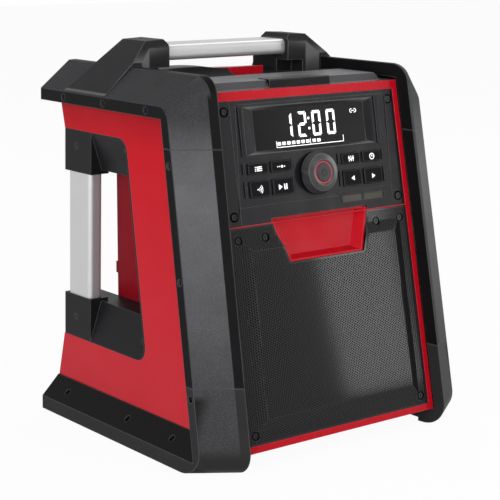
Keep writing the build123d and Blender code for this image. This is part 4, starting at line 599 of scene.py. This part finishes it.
def add_piece(name, points, faces, body, materials, kinds=None):
    """Mesh object at the origin that rides on a body. kinds gives each face's material."""
    mesh = bpy.data.meshes.new(name)
    mesh.from_pydata(np.asarray(points, float), [], [list(map(int, face)) for face in faces])
    for material in materials:
        mesh.materials.append(material)
    if kinds is not None:
        mesh.polygons.foreach_set("material_index", np.asarray(kinds, np.int32))
    mesh.update()
    piece = bpy.data.objects.new(name, mesh)
    bpy.context.scene.collection.objects.link(piece)
    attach(piece, body)
    return piece


def prisms(outlines, low, high):
    """Points and faces of prisms that stand on the front. Each outline is rows of (u, v),
    anticlockwise from outside, and its prism goes from w = low to w = high."""
    points, faces, start = [], [], 0
    for outline in outlines:
        outline = np.asarray(outline, float)
        count = len(outline)
        for level in (low, high):
            points.append(on_front(np.c_[outline, np.full(count, level)]))
        ring = np.arange(count)
        after = (ring + 1) % count
        walls = np.c_[ring, after, after + count, ring + count] + start
        faces += [*walls, ring[::-1] + start, ring + count + start]
        start += 2 * count
    return np.concatenate(points), faces


def rounded(middle_u, middle_v, width, height, radius, steps=5):
    """Rectangle whose corners are quarter circles: each is the radius times cosine and sine of an
    angle from 0 to 90 degrees, mirrored into its corner."""
    turns = np.radians(np.linspace(0, 90, steps))
    arc = radius * np.c_[np.cos(turns), np.sin(turns)]
    du, dv = width / 2 - radius, height / 2 - radius
    sides = [arc + (du, dv), arc[::-1] * (-1, 1) + (-du, dv), arc * (-1, -1) + (-du, -dv)]
    sides.append(arc[::-1] * (1, -1) + (du, -dv))
    return np.concatenate(sides) + (middle_u, middle_v)


def box_outline(left, right, low, high):
    """Plain rectangle."""
    return np.array([(left, low), (right, low), (right, high), (left, high)], float)


def arc_band(middle, radius, width, start, end, steps=14):
    """Short quads that follow an arc from start to end, in degrees. Their corners are the middle
    plus the radius, less or more half the width, times cosine and sine of the angle."""
    turns = np.radians(np.linspace(start, end, steps + 1))
    ring = np.c_[np.cos(turns), np.sin(turns)]
    inner = ring * (radius - width / 2) + middle
    outer = ring * (radius + width / 2) + middle
    return list(np.stack([inner[:-1], outer[:-1], outer[1:], inner[1:]], 1))


def stroke(start, end, width):
    """Straight bar between two points: each end is moved half the width to either side."""
    start, end = np.asarray(start, float), np.asarray(end, float)
    along = (end - start) / np.linalg.norm(end - start)
    side = np.array([-along[1], along[0]]) * width / 2
    return np.array([start - side, end - side, end + side, start + side])


# ------------------------------------------------------------------ perforated grille
HOLE_PITCH = 2.5
HOLE_COLUMNS = 60  # columns of holes to each side of the middle one
HOLE_FLOOR = 0.04  # floor of a hole, over the sheet
HOLE_SIZE = 0.88  # corner radius of a hexagonal hole
SKIN_RISE = 0.35  # the perforated skin stands this far over the sheet
SKIN_EDGE = 1.6  # plain rim that is left round it
SCREW_SPOTS = [
    (side * u, v) for side in (-1, 1) for u, v in ((102.6, 217.8), (70.6, 217.8), (107.0, 34.6))
]
SCREW_CLEAR = 4.3  # no hole comes nearer to a screw's axis
DISH_CLEAR = 0.6  # extra rim beside the dish
PANEL_SCREWS = [
    (side * u, v) for side in (-1, 1) for u, v in ((103.0, 337.5), (104.0, 239.8))
]


def frame_half(v):
    """Half width of the bezel's opening at a height up the face."""
    return FRAME_FOOT_HALF - SIDE_TAPER * v * cos(LEAN)


def grille_height(u, v):
    """Stand of the sheet: flat border, slope, flat middle. It is the full stand times the distance
    to the nearest side, less the border, over the slope's width, kept between 0 and 1."""
    inset = np.minimum(frame_half(v) - np.abs(u), np.minimum(v - FRAME_LOW, PANEL_LOW - v))
    return GRILLE_STAND * np.clip((inset - GRILLE_MARGIN) / GRILLE_SLOPE, 0, 1)


def dish_half(v):
    """Half width of the dish at a height up the face."""
    share = (v - DISH_LOW) / (PANEL_STEP - DISH_LOW)
    return DISH_LOW_HALF + (DISH_TOP_HALF - DISH_LOW_HALF) * share


def hole_spots():
    """Centres of a hexagonal pattern of holes in staggered columns, kept clear of the rim, the dish
    and the screws."""
    column_gap = HOLE_PITCH * sin(radians(60))
    rows = np.arange(int((PANEL_LOW - FRAME_LOW) / HOLE_PITCH))
    columns = np.arange(-HOLE_COLUMNS, HOLE_COLUMNS + 1)
    column, row = np.meshgrid(columns, rows)
    u = column * column_gap
    v = FRAME_LOW + SKIN_EDGE + HOLE_PITCH / 2 + (row + 0.5 * (column % 2)) * HOLE_PITCH
    u, v = u.ravel(), v.ravel()
    edge = SKIN_EDGE + HOLE_PITCH / 2
    keep = (np.abs(u) < frame_half(v) - edge) & (v < PANEL_LOW - edge)
    keep &= (v < DISH_LOW - edge) | (np.abs(u) > dish_half(v) + edge + DISH_CLEAR)
    for screw_u, screw_v in SCREW_SPOTS:
        keep &= np.hypot(u - screw_u, v - screw_v) > SCREW_CLEAR + HOLE_PITCH / 2
    return np.c_[u, v][keep]


def grille_skin(side, name):
    """Half of the skin, on the left for side -1. Round each spot lies a hexagon whose corners meet
    the neighbours' corners, with a smaller hexagonal hole in it, six walls down and a near black
    floor, which is painted shade for the depth behind the hole.
    A corner is the spot plus a radius times cosine and sine of its angle, at the sheet's height."""
    spots = hole_spots()
    here = spots[:, 0] > -1e-6 if side > 0 else spots[:, 0] < -1e-6
    spots = spots[here]
    turns = np.radians(np.arange(6) * 60)
    ring = np.c_[np.cos(turns), np.sin(turns)]
    outer = HOLE_PITCH / 2 / cos(radians(30))
    levels = ((outer, SKIN_RISE), (HOLE_SIZE, SKIN_RISE), (HOLE_SIZE, HOLE_FLOOR))
    rings = []
    for radius, rise in levels:
        at = spots[:, None, :] + ring[None] * radius
        rings.append(np.dstack([at, grille_height(at[..., 0], at[..., 1]) + rise]))
    points = on_front(np.concatenate(rings, 1).reshape(-1, 3))
    corner = np.arange(6)
    after = (corner + 1) % 6
    land = np.c_[corner, after, after + 6, corner + 6]
    walls = land + 6
    first = (np.arange(len(spots)) * 18)[:, None, None]
    quads = (np.concatenate([land, walls])[None] + first).reshape(-1, 4)
    floors = (corner + 12)[None] + first[:, 0]
    faces = list(quads) + list(floors)
    kinds = [0] * len(quads) + [1] * len(floors)
    return add_piece(name, points, faces, "radio", [MESH, HOLE_SHADE], kinds)


# ------------------------------------------------------------------ marks on the keys
KEY_PROUD = 2.2  # the keys' tops stand this far over the panel
PRINT_T = 0.06  # thickness of the printed marks


def play_triangle(u, size, way=1):
    """Triangle that points right, or left when way is -1."""
    corners = np.array([(-0.45 * way, -0.6), (0.6 * way, 0), (-0.45 * way, 0.6)]) * size
    return (corners if way > 0 else corners[::-1]) + (u, 0)


def menu_lines():
    """Three lines with a square before each."""
    rows = []
    for v in (-1.7, 0.0, 1.7):
        rows.append(box_outline(-4.2, -3.2, v - 0.45, v + 0.45))
        rows.append(box_outline(-2.2, 4.2, v - 0.45, v + 0.45))
    return rows


def station_dots():
    """Row of dots, the chosen one larger."""
    sizes = ((-4.2, 0.6), (-1.7, 0.6), (1.1, 1.3), (4.2, 0.6))
    return [rounded(u, 0, 2 * r, 2 * r, r * 0.98, 4) for u, r in sizes]


def slider_marks():
    """Three upright sliders with their knobs at different heights."""
    marks = []
    for u, knob_v in ((-2.6, 0.9), (0.0, -0.9), (2.6, 0.3)):
        marks.append(box_outline(u - 0.35, u + 0.35, -2.8, 2.8))
        marks.append(rounded(u, knob_v, 2.0, 1.5, 0.4, 3))
    return marks


def clock_face():
    """Round clock with two hands."""
    marks = arc_band((0, 0), 2.8, 0.8, 0, 360, 20)
    return marks + [stroke((0, -0.3), (0, 1.8), 0.6), stroke((-0.3, 0), (1.4, 0), 0.6)]


def wave_marks():
    """Dot with three arcs that spread to the right."""
    marks = [rounded(-3.0, 0, 1.5, 1.5, 0.73, 4)]
    for radius in (2.2, 3.9, 5.6):
        marks += arc_band((-3.0, 0), radius, 0.6, -42, 42, 7)
    return marks


def play_pause():
    """Triangle and two bars."""
    bars = [box_outline(left, left + 1.2, -2.7, 2.7) for left in (1.2, 3.7)]
    return [play_triangle(-3.4, 4.2), *bars]


KEY_MARKS = {
    "mode_key": menu_lines(),
    "preset_key": station_dots(),
    "equaliser_key": slider_marks(),
    "clock_key": clock_face(),
    "pairing_key": wave_marks(),
    "play_key": play_pause(),
    "previous_key": [play_triangle(0.3, 4.0, -1)],
    "next_key": [play_triangle(-0.3, 4.0)],
}


def node_spot(node):
    """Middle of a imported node, across and up the front, in millimetres."""
    low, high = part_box(node)
    x, y, z = [(a + b) / 2 / MM for a, b in zip(low, high)]
    return np.array([x, (y - FRONT_FOOT_Y) * sin(LEAN) + z * cos(LEAN)])


def print_keys():
    """A printed mark on every key, which moves with it. Its print glows: painted light."""
    for key, outlines in KEY_MARKS.items():
        spot = node_spot(key)
        moved = [np.asarray(outline) + spot for outline in outlines]
        points, faces = prisms(moved, KEY_PROUD - 0.02, KEY_PROUD + PRINT_T)
        add_piece(f"{key}_mark", points, faces, key, [GLOWING_PRINT])


# ------------------------------------------------------------------ display
DISPLAY_W = -1.7  # face of the display's window
DIGIT_LOW = 308.0
DIGIT_H = 24.4
DIGIT_W = 11.0
DIGIT_LEFTS = (-33.6, -15.4, 2.6, 20.9)
SEGMENT_W = 2.7
SEGMENT_GAP = 0.36
SEGMENT_TIP = 0.5  # blunt tip of a mitred end
GLASS_T = 0.05  # the segments reach this far into and out of the window's face
COLON_VS = (315.7, 325.4)
BAR_TICKS = ((-43.7, 306.2), (-1.7, 305.8), (40.5, 306.2))  # place and top of each
LEVEL_BLOCKS = [*np.arange(7) * 5.9 - 40.6, 3.0, 8.9]
LINK_LEFT, LINK_RIGHT, LINK_V = 54.0, 58.5, 329.0
SEGMENTS = {"0": "abcdef", "1": "bc", "2": "abged"}


def digit(left, name):
    """Mitred segments of one digit: long sides on its outline, ends cut at 45 degrees."""
    t, g, w, h = SEGMENT_W, SEGMENT_GAP, DIGIT_W, DIGIT_H
    half, mid = t / 2, h / 2
    tip = g + SEGMENT_TIP
    right_high = [(w, mid + g), (w, h - tip), (w - t, h - t - g), (w - t, mid + half + g)]
    right_high = np.array(right_high)
    top = np.array([(tip, h), (t + g, h - t), (w - t - g, h - t), (w - tip, h)])
    middle = [(half + g, mid), (t + g, mid - half), (w - t - g, mid - half)]
    middle += [(w - half - g, mid), (w - t - g, mid + half), (t + g, mid + half)]
    upended, mirrored = np.array((1, -1)), np.array((-1, 1))
    shapes = {
        "a": top,
        "b": right_high,
        "c": (right_high * upended + (0, h))[::-1],
        "d": (top * upended + (0, h))[::-1],
        "e": right_high * -1 + (w, h),
        "f": (right_high * mirrored + (w, 0))[::-1],
        "g": np.array(middle),
    }
    return [shapes[letter] + (left, DIGIT_LOW) for letter in SEGMENTS[name]]


def display_marks():
    """The time, a level bar under it, and a small sign for the wireless link."""
    outlines = []
    for left, name in zip(DIGIT_LEFTS, "1200"):
        outlines += digit(left, name)
    for v in COLON_VS:
        outlines.append(box_outline(-2.6, -0.4, v - 1.1, v + 1.1))
    outlines.append(box_outline(-44.0, 40.8, 299.8, 300.4))
    for u, top in BAR_TICKS:
        outlines.append(box_outline(u - 0.3, u + 0.3, 300.4, top))
    for u in LEVEL_BLOCKS:
        outlines.append(box_outline(u - 2.0, u + 2.0, 302.0, 305.0))
    outlines += arc_band((LINK_LEFT, LINK_V), 1.8, 0.7, 60, 300, 8)
    outlines += arc_band((LINK_RIGHT, LINK_V), 1.8, 0.7, -120, 120, 8)
    outlines.append(stroke((LINK_LEFT + 0.3, LINK_V), (LINK_RIGHT - 0.3, LINK_V), 0.7))
    points, faces = prisms(outlines, DISPLAY_W - GLASS_T, DISPLAY_W + GLASS_T)
    add_piece("display_segments", points, faces, "radio", [DIGITS])


# ------------------------------------------------------------------ relief of the panel
ROOTED = -0.3  # the ribs start this far under the panel's face
RIB_RISE = 1.5
LENS_FRAME_RISE = 0.7
DISPLAY_RIB = (85.4, 318.0, 5.2, 47.0, 1.6)  # u, v, width, height and corner radius
KEY_RIBS = ((283.2, 10.4), (263.6, 15.4))  # v and height beside each row of keys
KEY_RIB_US = (29.6, 87.9)
LENS_FRAME_US = (29.0, 57.0, 85.2)
CREASES = (  # start, end and width
    ((-97.0, 242.0), (-90.0, 342.0), 0.9),
    ((96.0, 242.0), (98.9, 341.0), 0.9),
    ((-96.8, 247.5), (24.0, 247.5), 0.7),
    ((24.0, 247.5), (27.5, 251.4), 0.7),
    ((27.5, 251.4), (96.2, 251.4), 0.7),
    ((-88.0, 343.3), (98.0, 343.3), 0.9),
)


def bevelled(piece, width):
    """Round a new piece's edges."""
    bevel = piece.modifiers.new("round", "BEVEL")
    bevel.width = width * MM
    bevel.segments = 3
    bevel.limit_method = "ANGLE"
    smooth = piece.modifiers.new("smooth", "NODES")
    smooth.node_group = SMOOTH


def panel_relief():
    """Upright ribs beside the display, the key groups and the lamp windows."""
    u, v, width, height, radius = DISPLAY_RIB
    ribs = []
    for side in (-1, 1):
        ribs.append(rounded(side * u, v, width, height, radius))
        for key_u in KEY_RIB_US:
            ribs += [rounded(side * key_u, key_v, 3.0, tall, 1.2) for key_v, tall in KEY_RIBS]
    points, faces = prisms(ribs, ROOTED, RIB_RISE)
    bevelled(add_piece("panel_ribs", points, faces, "radio", [PANEL]), 0.5)
    stops = [rounded(stop_u, 243.3, 2.2, 6.8, 0.9) for stop_u in LENS_FRAME_US]
    points, faces = prisms(stops, ROOTED, LENS_FRAME_RISE)
    frames = add_piece("lamp_window_frames", points, faces, "radio", [PANEL])
    bevelled(frames, 0.25)


def panel_creases():
    """Fine raised lines: down both margins of the panel, and over and beside the lamp windows."""
    lines = [stroke(*crease) for crease in CREASES]
    points, faces = prisms(lines, -0.2, 0.35)
    bevelled(add_piece("panel_creases", points, faces, "radio", [PANEL]), 0.15)


def screw_wells():
    """Dark ring round the head of each screw in the grille and the panel: painted shade of the gap.
    """
    wells = (
        ("grille_screw_painted_shade", SCREW_SPOTS, 3.85, 0.9, SKIN_RISE, "grille_mesh"),
        ("panel_screw_painted_shade", PANEL_SCREWS, 4.1, 1.1, 0.15, "plastic_dark"),
    )
    for name, spots, radius, width, rise, slot in wells:
        rings = [quad for spot in spots for quad in arc_band(spot, radius, width, 0, 360, 28)]
        points, faces = prisms(rings, -0.1, rise)
        add_piece(name, points, faces, "radio", [HOLE_SHADE])


def power_mark():
    """Raised ring with a bar at its top, on the button in the knob."""
    outlines = arc_band((0, KNOB_V), 2.9, 0.6, 120, 420, 22)
    outlines.append(box_outline(-0.3, 0.3, KNOB_V + 1.2, KNOB_V + 3.8))
    points, faces = prisms(outlines, KNOB_TOP - 0.05, KNOB_TOP + 0.15)
    add_piece("power_mark", points, faces, "power_button", [KEYTOP])


# ------------------------------------------------------------------ stage, light and camera
FLOOR_REACH = 8.0  # metres from the middle to each side
FLOOR_SEEN = 0.95  # share of plain white that the camera and reflections see on the floor
FLOOR_TONE = 0.86
FILL = 0.32  # strength of the surround's light on the object


def build_stage():
    """Pale floor and a white surround, seen in full only by the camera and in reflections."""
    mesh = bpy.data.meshes.new("floor")
    near, far = -FLOOR_REACH, FLOOR_REACH
    corners = [(near, near, 0), (far, near, 0), (far, far, 0), (near, far, 0)]
    mesh.from_pydata(corners, [], [(0, 1, 2, 3)])
    floor = bpy.data.objects.new("floor", mesh)
    bpy.context.scene.collection.objects.link(floor)
    material, wires, shader = new_material("pale_floor")
    shader.inputs["Base Color"].default_value = (FLOOR_TONE, FLOOR_TONE, FLOOR_TONE, 1)
    shader.inputs["Roughness"].default_value = 0.9
    shader.inputs["Specular IOR Level"].default_value = 0.0
    glow = wires.put("ShaderNodeEmission", {"Color": (1, 1, 1, 1), "Strength": 1.0})
    path = wires.put("ShaderNodeLightPath").outputs
    seen = wires.maths("MAXIMUM", path["Is Camera Ray"], path["Is Glossy Ray"])
    share = wires.maths("MULTIPLY", seen, FLOOR_SEEN)
    blend = wires.put("ShaderNodeMixShader", {0: share, 1: shader.outputs[0], 2: glow.outputs[0]})
    output = material.node_tree.nodes["Material Output"]
    wires.feed(output.inputs["Surface"], blend.outputs[0])
    mesh.materials.append(material)

    world = bpy.data.worlds.new("studio")
    bpy.context.scene.world = world
    world.use_nodes = True
    wires = Wires(world.node_tree)
    background = world.node_tree.nodes["Background"]
    path = wires.put("ShaderNodeLightPath").outputs
    seen = wires.maths("MAXIMUM", path["Is Camera Ray"], path["Is Glossy Ray"])
    seen = wires.maths("MAXIMUM", seen, path["Is Transmission Ray"])
    strength = wires.maths("ADD", wires.maths("MULTIPLY", seen, 1 - FILL), FILL, clamp=True)
    wires.feed(background.inputs["Color"], (1, 1, 1, 1))
    wires.feed(background.inputs["Strength"], strength)


MIDDLE = Vector((0.0, 0.0, 0.19))
LAMPS = (  # place, width, height and power
    ("key_light", (-2.2, -1.1, 0.7), 2.6, 1.2, 50),
    ("side_light", (2.5, -0.85, 0.85), 1.4, 1.5, 21),
    ("strip_light", (1.60, -1.90, 0.50), 0.20, 1.0, 4.5),
    ("slope_light", (-0.25, -2.0, 0.33), 0.10, 0.9, 2.4),
    ("front_light", (0.1, -1.7, 1.75), 1.0, 0.8, 10),
    ("top_light", (1.5, 0.4, 2.2), 0.9, 0.9, 14),
)


def soft_box(name, place, width, height, power):
    """Rectangular lamp that faces the object's middle."""
    light = bpy.data.lights.new(name, "AREA")
    light.shape = "RECTANGLE"
    light.size = width
    light.size_y = height
    light.energy = power
    lamp = bpy.data.objects.new(name, light)
    turn = (MIDDLE - Vector(place)).to_track_quat("-Z", "Y").to_matrix().to_4x4()
    lamp.matrix_world = Matrix.Translation(place) @ turn
    bpy.context.scene.collection.objects.link(lamp)


CAMERA_AT = Vector((-0.960, -1.212, 0.49565))
CAMERA_YAW = radians(38.17)
CAMERA_PITCH = radians(11.69)
CAMERA_ROLL = radians(0.3)
LENS = 110.84  # millimetres, on a sensor 36 mm wide


def build_camera():
    """Camera that looks along a heading and a pitch, with a slight roll."""
    flat = cos(CAMERA_PITCH)
    forward = Vector((sin(CAMERA_YAW) * flat, cos(CAMERA_YAW) * flat, -sin(CAMERA_PITCH)))
    level = Vector((cos(CAMERA_YAW), -sin(CAMERA_YAW), 0))
    up = level.cross(forward)
    across = level * cos(CAMERA_ROLL) + up * sin(CAMERA_ROLL)
    up = up * cos(CAMERA_ROLL) - level * sin(CAMERA_ROLL)
    turn = Matrix((across, up, -forward)).transposed().to_4x4()
    data = bpy.data.cameras.new("camera")
    data.lens = LENS
    data.sensor_width = 36.0
    data.clip_end = 100.0
    camera = bpy.data.objects.new("camera", data)
    camera.matrix_world = Matrix.Translation(CAMERA_AT) @ turn
    bpy.context.scene.collection.objects.link(camera)
    bpy.context.scene.camera = camera


# ------------------------------------------------------------------ put together
dress_nodes()
grille_skin(-1, "grille_skin_left")
grille_skin(1, "grille_skin_right")
print_keys()
display_marks()
panel_relief()
panel_creases()
screw_wells()
power_mark()
build_stage()
for lamp_values in LAMPS:
    soft_box(*lamp_values)
build_camera()
bpy.context.scene.view_settings.view_transform = "Standard"
